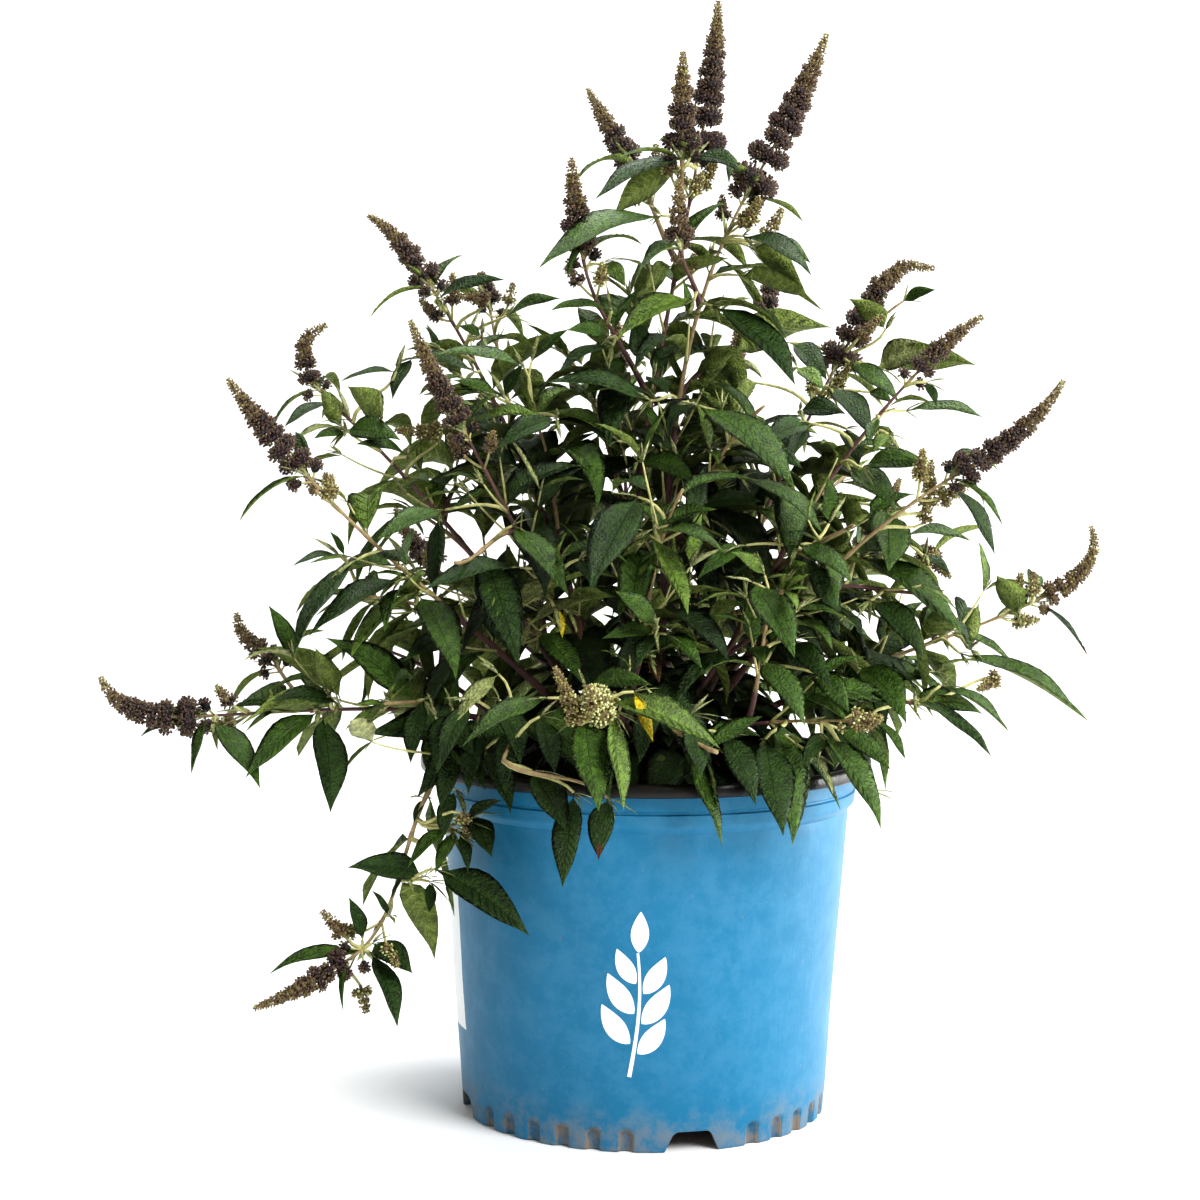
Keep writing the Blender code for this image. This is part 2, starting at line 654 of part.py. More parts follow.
def grow_masses(firsts, starts, room, bark, green):
    """Every cane first, then pairs of leaves from the tips down, one tier of each cane at a time."""
    stems = {mass: [] for mass in MASSES}
    growing = []
    for index, cane in enumerate(CANES):
        first = firsts[cane.mass]
        rng = random.Random(index)
        if cane.fork:
            fork = starts[cane.mass] + (first.length - starts[cane.mass]) * cane.fork
            path = cane_path(first.at(fork)[0], cane, 0.0)
            start, whole = 0.0, max(path.length, SHORTEST_FORK)
        else:
            path, start, whole = first, starts[cane.mass], first.length
        sides = FORK_SIDES if cane.fork else STEM_SIDES
        shape = stem_and_spike(path, start, whole, cane.spike, cane.curl, sides)
        room.add(shape, cane.mass)
        stems[cane.mass].append(shape)
        tiers = max(1, int((path.length - start - 2 * FIRST_LEAF) / LEAF_STEP))
        growing.append((cane, path, start, tiers, rng))

    leaves = {mass: [] for mass in MASSES}
    for tier in range(max(tiers for _, _, _, tiers, _ in growing)):
        for cane, path, start, tiers, rng in growing:
            if tier >= tiers:
                continue
            distance = path.length - FIRST_LEAF - tier * LEAF_STEP
            share = tier / tiers
            turn = rng.uniform(-0.3, 0.3) + (tier % 2) * math.pi / 2
            for half in (0, math.pi):
                leaf = leaf_at(path, distance, turn + half, leaf_length(share, rng), LEAF_SPREAD, rng)
                keep_leaf(leaf, cane.mass, room, leaves)
            if tier % 2:
                for half in (AXIL_TURN, AXIL_TURN + math.pi):
                    length = LEAF_LENGTH * rng.uniform(*AXIL_SIZE)
                    leaf = leaf_at(path, distance - AXIL_DROP, turn + half, length, AXIL_SPREAD, rng)
                    keep_leaf(leaf, cane.mass, room, leaves)

    for mass in MASSES:
        first, *others = stems[mass]
        joined("foliage_" + mass, first, others + leaves[mass], (bark, green))


def keep_leaf(leaf, mass, room, leaves):
    """Keeps a leaf if it is clear of all but its own mass's stems, and of all leaves."""
    if not room.free_for(leaf_corners(leaf, CLEARANCE), LEAF_FACES, mass):
        return
    shape = leaf_solid(leaf)
    room.add(shape)
    leaves[mass].append(shape)


main()
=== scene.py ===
"""Dresses the solids of a potted butterfly bush. The pot gets its moulded wall, grooves and flutes, the mix its
bark chips, the crown its bark, and each mass of foliage becomes shoots, leaves and flower heads that grow on
from the same limbs by the same rule. Metres, +Z up, -Y towards the viewer."""

import functools
import json
import math
import random
from collections import namedtuple

import bmesh
import bpy
import numpy as np
from bpy.props import FloatProperty, FloatVectorProperty, IntProperty, PointerProperty
from mathutils import Matrix, Vector, noise
from mathutils.bvhtree import BVHTree

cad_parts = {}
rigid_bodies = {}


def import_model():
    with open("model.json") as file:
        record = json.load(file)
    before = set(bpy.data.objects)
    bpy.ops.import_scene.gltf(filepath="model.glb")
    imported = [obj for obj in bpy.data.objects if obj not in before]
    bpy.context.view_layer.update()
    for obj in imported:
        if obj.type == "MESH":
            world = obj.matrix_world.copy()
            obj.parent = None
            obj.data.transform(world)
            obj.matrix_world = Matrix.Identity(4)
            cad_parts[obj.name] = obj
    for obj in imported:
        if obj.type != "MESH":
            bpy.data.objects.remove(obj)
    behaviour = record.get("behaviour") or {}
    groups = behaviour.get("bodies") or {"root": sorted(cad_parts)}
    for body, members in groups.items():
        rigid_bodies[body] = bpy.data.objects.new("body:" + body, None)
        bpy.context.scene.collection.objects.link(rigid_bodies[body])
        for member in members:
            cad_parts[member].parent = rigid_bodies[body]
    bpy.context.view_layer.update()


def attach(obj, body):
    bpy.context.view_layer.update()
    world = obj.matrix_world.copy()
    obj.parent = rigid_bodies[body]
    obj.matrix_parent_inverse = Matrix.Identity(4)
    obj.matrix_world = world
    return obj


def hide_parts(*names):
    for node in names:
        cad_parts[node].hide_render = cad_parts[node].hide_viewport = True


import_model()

bl_info = {
    "name": "Potted butterfly bush",
    "version": (1, 0, 0),
    "blender": (4, 5, 0),
    "location": "3D View > Sidebar > Bush",
    "description": "Makes the detailed pieces of a butterfly bush in its nursery pot",
    "category": "Object",
}

# ---------------------------------------------------------------- sizes that the solids have

RIM_RADIUS = 0.140
POT_HEIGHT = 0.2205
BASE_RADIUS = 0.1126
SHOULDER_RADIUS = 0.1258
SHOULDER_HEIGHT = 0.190
COLLAR_RADIUS = 0.1298
COLLAR_STEP = 0.004
COLLAR_TAPER = 0.0012
LIP_HEIGHT = 0.008
WALL = 0.0025
FOOT_RADIUS = 0.0715
CHANNEL_SLOPE = 0.003
CHANNEL_HEIGHT = 0.0155
FOOT_RING = 0.0048
NOTCHES = 4
NOTCH_TURN = math.radians(15)
NOTCH_WIDTH = 0.037
NOTCH_TOP_WIDTH = 0.022
NOTCH_HEIGHT = 0.0125
NOTCH_DEPTH = 0.016
FLUTES_BETWEEN = 6
FLUTE_PITCH = math.radians(10)
FLUTE_HEIGHT = 0.0145
FLUTE_DEPTH = 0.0031
FLUTE_ROUND = 0.0056
MIX_TOP = 0.188
MIX_EDGE_DROP = 0.006
CROWN_HEIGHT = 0.024
CROWN_PROFILE = ((0.022, 0.0), (0.016, 0.2), (0.013, 0.55), (0.010, 0.9))
STUB_LENGTH = 0.043
STUB_SWELL = 0.5
GAP = 0.0003

BASE_THICKNESS = 0.0016
THICKNESS_PER_LENGTH = 0.0052
TIP_THICKNESS = 0.0012
BARE_SHARE = 0.26
SHORTEST_BOUGH = 0.032
LEAF_STEP = 0.026
LEAF_LENGTH = 0.086
LEAF_SPREAD = (52, 68)
AXIL_SPREAD = (30, 48)
LEAF_SMALLEST = 0.62
LEAF_TILT = (0.45, 0.75)
LEAF_WIDEST = 0.42
FIRST_LEAF = 0.006
AXIL_DROP = 0.004
AXIL_TURN = 0.5
AXIL_SIZE = (0.55, 0.80)
SPIKE_FULL_LENGTH = 0.088
SPIKE_BEND = 2.0
SHORTEST_FORK = 0.12
UP = Vector((0, 0, 1))
CROWN_CENTRE = Vector((0, 0, MIX_TOP + CROWN_HEIGHT / 2))
FOOT_OFFSET = 0.008
KNEE_PITCH = -42
LEAVING_PULL = 0.36
ARRIVING_PULL = 0.34

Cane = namedtuple("Cane", "mass fork end leaves arrives spike curl swing knee", defaults=(0.0, 0, 0, None))
# By mass, its cane and then its forks: where along the cane it forks, its end, the pitches at which it leaves and
# arrives, its spike's length and curl, and for some the swing of its foot and a knee. Angles are in degrees.
CANE_ROWS = {
    "leader": (
        (0, (0.030, 0.010, 0.594), 80, 80, 0.092, 8, 130), (0.80, (0.019, -0.022, 0.590), 60, 80, 0.058, 10),
        (0.76, (-0.012, 0.032, 0.588), 50, 50, 0.060, 6), (0.46, (-0.041, -0.028, 0.529), 62, 80, 0.056, 6),
        (0.20, (-0.052, 0.052, 0.468), 60, 40),
    ),
    "right_leader": (
        (0, (0.061, -0.002, 0.569), 78, 60, 0.104, 8, -60), (0.72, (0.018, -0.045, 0.534), 62, 82, 0.036, 10),
        (0.50, (0.075, 0.085, 0.500), 55, 66, 0.040, 12), (0.14, (0.068, -0.072, 0.436), 56, 30),
    ),
    "upper_left": (
        (0, (-0.142, 0.060, 0.515), 70, 54, 0.062, -26), (0.52, (-0.105, 0.100, 0.503), 62, 58, 0.034, -50),
        (0.16, (-0.070, -0.020, 0.428), 60, 40),
    ),
    "left_front": (
        (0, (-0.111, -0.070, 0.424), 66, 58, 0.068, 8), (0.30, (-0.052, -0.112, 0.345), 55, 30),
        (0.55, (-0.110, -0.120, 0.345), 40, 10),
    ),
    "left_back": (
        (0, (-0.212, 0.030, 0.449), 58, 42, 0.044, 95), (0.50, (-0.115, 0.135, 0.410), 50, 62, 0.046, 12),
        (0.24, (-0.150, 0.060, 0.368), 46, 20), (0.06, (-0.072, 0.078, 0.322), 44, 24),
    ),
    "left": ((0, (-0.203, -0.090, 0.398), 50, 48, 0.066, 6), (0.34, (-0.168, -0.050, 0.320), 34, 6)),
    "low_left": (
        (0, (-0.270, -0.060, 0.248), 40, -2, 0.066, 70), (0.66, (-0.232, 0.002, 0.276), 20, 36, 0.040, 40),
        (0.20, (-0.152, -0.108, 0.262), 24, 4), (0.10, (-0.168, 0.042, 0.280), 30, 8),
    ),
    "hanging_left": (
        (0, (-0.172, -0.122, 0.114), 40, -22, 0.062, 14, 0, (-0.116, -0.094, 0.226)),
        (0.06, (-0.080, -0.156, 0.236), 20, -20),
    ),
    "right_upper": (
        (0, (0.119, 0.040, 0.464), 68, 60, 0.102, -96), (0.48, (0.060, 0.125, 0.445), 60, 72, 0.050, 12),
        (0.30, (0.128, 0.080, 0.392), 44, 30),
    ),
    "right": ((0, (0.160, -0.050, 0.457), 62, 46, 0.050, -16), (0.26, (0.118, -0.112, 0.368), 46, 20)),
    "right_front": ((0, (0.181, -0.090, 0.398), 54, 30, 0.082, 28), (0.40, (0.176, -0.060, 0.326), 30, 8)),
    "low_right": (
        (0, (0.249, 0.020, 0.319), 44, 26, 0.058, 84), (0.62, (0.182, 0.080, 0.340), 40, 10, 0.030, -50),
        (0.08, (0.164, -0.048, 0.258), 26, -4),
    ),
    "front_right": ((0, (0.119, -0.130, 0.257), 46, 4, 0.020, 20, -40), (0.30, (0.078, -0.118, 0.330), 50, 20)),
    "front": (
        (0, (-0.026, -0.165, 0.268), 54, 12, 0.036, 34), (0.16, (0.020, -0.120, 0.388), 66, 50),
        (0.42, (0.040, -0.160, 0.242), 10, -12),
    ),
    "inner_left": ((0, (-0.058, -0.066, 0.322), 66, 46, 0.0, 0, 14), (0.20, (-0.096, -0.020, 0.306), 44, 20)),
    "inner_right": ((0, (0.078, -0.052, 0.326), 62, 46, 0.0, 0, -24), (0.20, (0.100, 0.010, 0.312), 40, 24)),
    "inner_back": ((0, (0.042, 0.088, 0.352), 66, 56), (0.20, (0.090, 0.066, 0.318), 44, 30)),
    "back": ((0, (-0.020, 0.150, 0.452), 72, 64, 0.056, 10), (0.34, (0.035, 0.160, 0.375), 50, 34)),
    "back_right": ((0, (0.150, 0.165, 0.352), 52, 36, 0.052, 26), (0.20, (0.158, 0.085, 0.268), 30, 2)),
    "back_low": ((0, (0.024, 0.232, 0.300), 50, 16, 0.050, 36), (0.24, (0.082, 0.172, 0.262), 30, 4)),
    "back_left": ((0, (-0.150, 0.172, 0.330), 50, 30, 0.054, 30), (0.22, (-0.070, 0.178, 0.268), 30, 6)),
}  # fmt: skip
CANES = tuple(Cane(mass, *row) for mass, rows in CANE_ROWS.items() for row in rows)
MASSES = tuple(dict.fromkeys(cane.mass for cane in CANES))
LUSH = dict.fromkeys(MASSES, 0.22) | {
    "inner_left": 1.0, "inner_right": 1.0, "inner_back": 1.0, "front": 1.0, "front_right": 0.9, "back": 0.6,
    "back_low": 0.8, "back_left": 0.6, "back_right": 0.6, "left_front": 0.5, "leader": 0.12, "right_leader": 0.12,
}  # fmt: skip
FOLIAGE = tuple("foliage_" + mass for mass in MASSES)
BOUGHS = tuple("bough_" + mass for mass in MASSES)

# ---------------------------------------------------------------- sizes that only the scene has

POT_TURNS = 432
TONES = ("deep", "middle", "fresh", "young", "yellow", "dry", "scorched", "shade")
DEEP, MIDDLE, FRESH, YOUNG, YELLOW, DRY, SCORCHED, SHADE = range(len(TONES))
VEINED = TONES[:3]
BUD_TONES = ("purple", "brown", "olive", "green", "pale")
STEM_TONES = ("dark", "tan", "green")
BROAD_LEAF, MIDDLE_LEAF, SMALL_LEAF, SLIM_LEAF, FRONT_LEAF = range(5)
UPPER, UNDER, RIB, UNDER_RIB = range(4)
CUP, TIP, SHADE_CORE = range(3)
LEAF_HALVES = (
    (0, 0.02), (0.05, 0.17), (0.12, 0.32), (0.22, 0.45), (0.33, 0.498), (0.42, 0.49), (0.52, 0.45),
    (0.62, 0.385), (0.72, 0.295), (0.80, 0.205), (0.87, 0.125), (0.93, 0.06), (1, 0.004),
)  # fmt: skip
RIB_HALF = 0.03
PLAIN_COLUMNS = (-1, -0.55, -RIB_HALF, RIB_HALF, 0.55, 1)
FINE_COLUMNS = (-1, -0.72, -0.38, -RIB_HALF, RIB_HALF, 0.38, 0.72, 1)
VEIN_SLANT = 0.17
VEIN_WIDTH = 0.0095
VEIN_DEPTH = 0.014
LEAF_SWELL = 0.008
RIB_DEPTH = 0.004
KEEL_DEPTH = 0.012
GOLDEN_TURN = math.pi * (3 - math.sqrt(5))
BACK_FROM = 0.055
SIDES_FROM = 0.075
MIX_TURNS = 120
MIX_RINGS = 26
CHIPS_WITHIN = 0.1135
BARK_VOXEL = 0.0013
# By cane: how thick its flower spike is, as a share of a full one, and how young, from 0 for purple to 1 for green.
SPIKE_LOOKS = {
    ("leader", 0): (0.92, -0.12), ("leader", 0.80): (0.9, 0.28), ("leader", 0.76): (0.8, 0.3),
    ("leader", 0.46): (0.92, 0.25), ("right_leader", 0): (1.08, -0.14), ("right_leader", 0.72): (0.8, 0.5),
    ("upper_left", 0): (0.76, 0.2), ("left_front", 0): (0.66, 0.24), ("left_back", 0): (0.72, 0.4),
    ("left", 0): (0.88, -0.05), ("low_left", 0): (0.92, -0.3), ("low_left", 0.66): (0.78, 0.45),
    ("hanging_left", 0): (0.64, 0.36), ("right_upper", 0): (0.84, 0.08), ("right", 0): (0.68, 0.3),
    ("right_front", 0): (0.64, 0.08), ("low_right", 0): (0.62, 0.6), ("front", 0): (1.1, 1.4),
    ("front_right", 0): (0.8, 1.1),
}  # fmt: skip
OTHER_SPIKES = (0.78, 0.3)
SIDE_GIRTH = 0.62
# The spikes that bend otherwise than the rule does, in mm.
SPIKE_PATHS = {
    ("right_upper", 0): ((125, 40, 476), (134, 40, 491), (145, 40, 513), (161, 40, 526), (179, 40, 524)),
    ("left_back", 0): ((-216, 30, 460), (-218, 30, 470), (-215, 30, 479), (-203, 30, 486)),
    ("low_left", 0.66): ((-240, 2, 282), (-249, 2, 289), (-254, 2, 297), (-256, 2, 306)),
}

# Of the listed things: how the leaves bend and stretch, how far back a thing may go for a shorter stalk, and the
# stalk's own size.
SET_STRETCH = 1.04
SET_LIFT = 0.664
SET_TUFT = 0.013
SIGHT_SHARES = (0.3, 0.55, 0.8)
BACK_SCALES = (1.0, 1.012, 1.024, 1.036, 1.048, 1.06)
BACK_GAIN = 0.003
STALK_FOOT = 0.0014
STALK_THINS = 0.0006
STALK_GREEN = 0.055
SPIKE_SIGHT = 0.4
SET_SPIKE_YOUTH = 1.1
RIPE_SPIKE_YOUTH = 0.6
# Of a cane: how it swells at its pairs of leaves, and how far up it is ripe.
JOINT_SWELL = 0.35
JOINT_LENGTH = 0.0025
RIPE_SHARE = 0.45
RIPE_FORK_LESS = 0.2
RIPEST_SHARE = 0.95
# Of a pair of leaves: how narrow the ones nearest the tip are, and how much more they droop than the solids' leaves.
TIER_WIDTHS = (0.8, 0.9)
SPIKE_PAIR_WIDTH = 0.62
MORE_DROOP = (1.3, 2.0)
# Of a side shoot: how far apart its pairs are, from what length a leaf has veins, and how its leaves are spread.
SHOOT_STEP = 0.021
VEINED_FROM = 0.032
SHOOT_SPREAD = (44, 66)
SHOOT_TIP_SPREAD = (24, 44)
SHOOT_FOOT = 0.0010
SHOOT_THINS = 0.0005
# Of the leaves near the crown: where they start, their step and their size.
INNER_START = 0.032
INNER_STEP = 0.018
INNER_LENGTH = (0.046, 0.074)
INNER_SPREAD = (50, 80)
# A leaf's mottling: its scale, relief and contrast, then its gloss.
LEAF_FINISH = (200.0, 0.0026, 0.4, 0.38)
# How tones are shared out: where a leaf counts as outer, and is painted lighter, or as shaded, and is given painted
# shade, the share of scorched ones, and the limits of the deep and middling ones.
OUTER_HEIGHT = 0.35
OUTER_REACH = 0.2
SHADE_RADIUS = 0.12
SHADE_HEIGHT = 0.26
SHADE_RISE = 0.18
SHADE_SHARE = 2.2
SCORCHED_SHARE = 0.012
DEEP_LIMIT = 0.5
MIDDLE_LIMIT = 0.84
BUD_LIMITS = (0.66, 0.9, 1.1, 1.28)
# Of a cluster: how many buds it has for its size in mm, and how much the buds differ.
FEWEST_BUDS = 4
BUDS_PER_MM = 1.4
BUDS_POWER = 1.9
BUD_LENGTHS = (0.88, 1.12)
BUD_WIDTHS = (0.68, 0.8)
# Of a spike: where its whorls start, the girth of its foot and tip, and the reach below which clusters are in pairs.
SPIKE_START = 0.003
AXIS_FOOT = 0.0011
AXIS_THINS = 0.0007
PAIRED_BELOW = 0.0022
STALKED_ABOVE = 0.0055
LONG_SPIKE = 0.05

CAMERA_PLACE = Vector((0, -1.547, 0.4225))
# The large leaves in front, in mm: root, tip, the width they show and the tone, with UNDERSIDE added where that
# side shows.
UNDERSIDE = 10
SET_LEAVES = (
    (68, -135, 247, 73, -172, 200, 26, 0), (43, -135, 250, 62, -165, 215, 19, 0),
    (-34, -165, 264, -29, -188, 215, 28, 1), (-19, -168, 266, -14, -184, 215, 14, 2),
    (-20, -165, 271, 37, -196, 248, 19, 2), (-55, -160, 272, -99, -178, 247, 14, 1),
    (-61, -130, 307, -38, -160, 280, 19, 1), (-6, -105, 383, -28, -150, 333, 31, 0),
    (-79, -90, 365, -48, -130, 327, 20, 1), (61, -105, 334, 81, -145, 295, 25, 1),
    (66, -112, 290, 87, -152, 257, 20, 1), (98, -95, 281, 114, -125, 261, 17, 1),
    (1, -110, 361, 23, -145, 319, 14, 2), (4, -112, 364, 42, -150, 354, 9, 1), (4, -110, 365, 38, -120, 377, 9, 1),
    (6, -130, 310, -17, -140, 330, 14, 1), (5, -132, 308, -23, -150, 303, 11, 1),
    (5, -134, 307, -5, -156, 289, 12, 0), (11, -132, 306, 30, -158, 289, 11, 1),
    (68, -100, 338, 49, -115, 352, 10, 2), (-34, -150, 276, 2, -172, 283, 13, 1),
    (101, -115, 248, 134, -150, 200, 17, 1), (111, -105, 250, 137, -130, 229, 14, 1),
    (-74, -135, 321, -50, -145, 339, 12, 3), (-66, -142, 312, -32, -152, 326, 9, 3),
    (-83, -150, 284, -106, -160, 257, 12, 3), (-7, -172, 277, 2, -180, 251, 9, 4),
    (-53, -130, 321, -47, -138, 304, 7, 4), (-45, -118, 317, -38, -128, 302, 11, 5),
    (1, -130, 294, 7, -138, 279, 9, 5), (-64, -152, 230, -46, -172, 199, 22, 0),
    (-40, -160, 219, -44, -180, 171, 19, 0), (-21, -166, 217, -26, -182, 186, 17, 6),
    (-102, -112, 198, -88, -134, 178, 16, 0), (5, -150, 270, -3, -165, 238, 17, 0),
    (25, -140, 261, 30, -160, 229, 19, 0), (-136, -70, 323, -107, -112, 278, 25, 1),
    (-112, -40, 415, -79, -78, 397, 18, 0), (-121, -55, 373, -156, -85, 355, 14, 1),
    (-125, -50, 370, -124, -72, 322, 13, 0), (-171, -80, 344, -205, -112, 290, 14, 0),
    (-145, -75, 333, -192, -110, 301, 15, 0), (-196, -62, 252, -231, -95, 216, 18, 1),
    (-259, -62, 245, -228, -92, 210, 18, 1), (-189, -62, 261, -195, -72, 290, 18, 11),
    (-184, -62, 257, -222, -82, 261, 11, 0), (-74, -95, 341, -125, -125, 329, 12, 0),
    (-163, -20, 426, -183, -10, 447, 20, 11), (-101, -120, 266, -117, -140, 228, 16, 0),
    (-111, -100, 299, -138, -130, 290, 15, 0), (29, -60, 436, 83, -110, 389, 22, 1),
    (38, -20, 497, 88, -62, 450, 18, 0), (27, -25, 500, -20, -65, 476, 18, 2), (-5, -20, 463, -9, -40, 489, 16, 0),
    (1, -40, 439, -57, -75, 448, 14, 0), (-6, -70, 403, 28, -105, 391, 16, 1), (-18, -75, 415, -55, -95, 433, 8, 2),
    (66, -30, 450, 50, -50, 436, 13, 12), (54, -80, 394, 101, -115, 364, 11, 1),
    (107, -70, 367, 105, -85, 395, 13, 1), (121, -45, 398, 145, -85, 376, 19, 1),
    (122, -20, 463, 146, -50, 438, 14, 1), (146, 10, 484, 124, 0, 503, 17, 12), (109, -25, 448, 133, -60, 419, 16, 0),
    (98, -40, 426, 68, -70, 412, 17, 0), (54, -10, 516, 102, -45, 492, 12, 11), (60, -5, 534, 93, -30, 504, 16, 12),
    (-30, -15, 522, -14, -35, 508, 13, 2), (7, -20, 551, -63, -62, 517, 17, 1), (24, -20, 586, -30, -50, 558, 11, 0),
    (19, 0, 582, -20, -25, 553, 22, 11), (26, -15, 586, 54, -45, 577, 12, 0), (56, -20, 539, 96, -55, 514, 13, 0),
    (14, 10, 523, -2, -5, 507, 15, 11), (63, 10, 536, 98, -20, 524, 10, 1), (144, -30, 374, 144, -70, 339, 28, 1),
    (128, -40, 347, 181, -85, 303, 19, 1), (125, -70, 283, 151, -105, 256, 25, 1),
    (160, -60, 262, 201, -85, 232, 8, 0), (176, -55, 270, 213, -80, 246, 8, 1),
    (198, -20, 289, 201, -30, 317, 11, 11), (230, 0, 308, 216, -8, 333, 20, 11), (155, -35, 359, 191, -60, 357, 8, 1),
    (177, -80, 391, 200, -100, 352, 9, 0), (156, -20, 434, 197, -50, 430, 8, 1),
    (131, -90, 256, 149, -110, 233, 6, 1), (89, -80, 355, 116, -115, 334, 16, 1),
    (84, -85, 299, 103, -120, 274, 17, 0), (133, -60, 321, 162, -95, 292, 18, 0),
    (-181, -50, 420, -148, -72, 413, 18, 1), (-181, -50, 419, -197, -66, 414, 7, 1),
    (191, -25, 287, 259, -62, 250, 12, 1), (-194, -60, 250, -182, -100, 198, 23, 0),
    (-22, -35, 472, -51, -65, 455, 9, 0), (-40, -95, 346, -29, -115, 330, 14, 0),
    (-128, -112, 162, -170, -122, 168, 19, 0), (-121, -122, 168, -69, -146, 134, 24, 0),
    (-125, -112, 159, -124, -118, 142, 8, 0), (-139, -112, 164, -146, -118, 150, 3, 0),
    (-164, -112, 124, -169, -118, 150, 10, 0), (-158, -116, 123, -134, -136, 110, 18, 0),
    (-159, -116, 118, -139, -140, 81, 14, 0), (-162, -112, 118, -179, -118, 113, 4, 2),
    (-148, -114, 139, -158, -118, 154, 5, 0), (-104, -118, 195, -83, -130, 210, 7, 0),
    (-113, -116, 191, -136, -128, 171, 9, 1), (-109, -116, 190, -119, -128, 167, 9, 1),
    (-107, -118, 189, -101, -128, 168, 8, 0), (-129, -100, 206, -135, -106, 192, 5, 0),
    (-130, -15, 500, -89, -35, 510, 8, 0), (-87, -20, 490, -55, -40, 499, 8, 1),
    (-75, -30, 458, -125, -62, 464, 9, 1), (-143, -30, 464, -154, -50, 439, 10, 0),
    (-106, -25, 456, -140, -45, 463, 8, 0), (-155, -10, 456, -186, -25, 449, 4, 0),
    (-193, -30, 437, -218, -45, 422, 7, 0), (-144, -50, 405, -172, -70, 412, 7, 1),
    (-111, -50, 422, -66, -75, 430, 7, 2), (-55, -50, 428, -87, -78, 410, 16, 0),
    (-91, -35, 440, -116, -50, 450, 9, 1), (-87, -35, 441, -76, -45, 459, 9, 0), (-71, -30, 462, -49, -40, 480, 8, 1),
    (-24, -30, 477, -48, -50, 482, 11, 1), (-128, -10, 470, -137, -15, 483, 4, 0),
    (-103, -5, 478, -116, -12, 484, 7, 1), (-182, -50, 345, -190, -55, 359, 5, 1),
    (-185, -50, 345, -211, -62, 339, 5, 0), (144, -10, 460, 193, -40, 463, 21, 11),
    (-23, -25, 493, -59, -45, 493, 5, 1), (168, -30, 347, 182, -40, 336, 7, 0), (66, -70, 410, 88, -90, 399, 13, 0),
    (30, -95, 376, 64, -115, 382, 12, 0), (57, -95, 355, 30, -110, 336, 13, 1),
    (109, -110, 247, 88, -130, 232, 13, 0), (129, -115, 215, 128, -110, 232, 6, 1),
    (-113, -100, 259, -120, -124, 225, 19, 0), (-98, -104, 249, -100, -130, 214, 18, 0),
    (-131, -84, 262, -138, -104, 228, 15, 0), (-84, -120, 266, -70, -146, 233, 19, 0),
    (-107, -108, 234, -119, -122, 205, 15, 0), (-116, -104, 240, -92, -132, 216, 17, 0),
    (-77, -128, 252, -79, -150, 218, 17, 0), (-92, -118, 238, -76, -142, 205, 17, 0),
    (-123, -96, 254, -99, -118, 233, 18, 0), (-60, -140, 259, -52, -160, 230, 17, 0),
    (-110, -112, 213, -118, -120, 186, 12, 0),
    (142, 24, 461, 176, 6, 472, 22, 3), (165, -52, 451, 169, -66, 437, 7, 0), (159, 34, 503, 177, 20, 509, 9, 1),
    (92, 20, 461, 107, 0, 446, 12, 2), (88, 20, 476, 110, 4, 454, 16, 0), (93, 0, 434, 118, -24, 431, 15, 0),
    (137, -46, 430, 130, -62, 413, 9, 1), (143, -50, 420, 133, -64, 409, 9, 2), (127, -60, 400, 162, -86, 403, 14, 1),
    (138, 30, 446, 151, 14, 439, 9, 1), (96, -10, 423, 87, -30, 403, 14, 0), (121, -10, 423, 125, -34, 401, 15, 0),
)  # fmt: skip
SET_DROOP = 0.38
SET_WIDTH = 0.34
SET_WAVE = 0.85
THINNED = 0.3
LONG_STALK = 0.034
# The small spikes between them, in mm: foot and tip. The last ones are riper.
SIDE_SPIKES = (
    (-36, -176, 259, -50, -184, 291), (166, -62, 376, 167, -66, 404), (163, -62, 367, 166, -66, 380),
    (239, 0, 321, 238, -4, 335), (105, -92, 335, 106, -94, 346), (25, -12, 517, 27, -14, 528),
    (61, -12, 546, 65, -16, 562), (70, -14, 537, 80, -18, 556), (-124, -42, 419, -151, -52, 420),
    (-189, -66, 379, -187, -72, 394), (168, -36, 348, 181, -48, 335), (213, -40, 275, 199, -50, 267),
    (-86, -20, 496, -83, -22, 509), (-165, -114, 98, -161, -116, 82), (-106, -122, 201, -101, -120, 186),
    (128, -5, 478, 142, -5, 492), (-174, -112, 126, -187, -114, 141),
    (-98, -10, 500, -116, -20, 502),
)  # fmt: skip
RIPE_SPIKES = 3
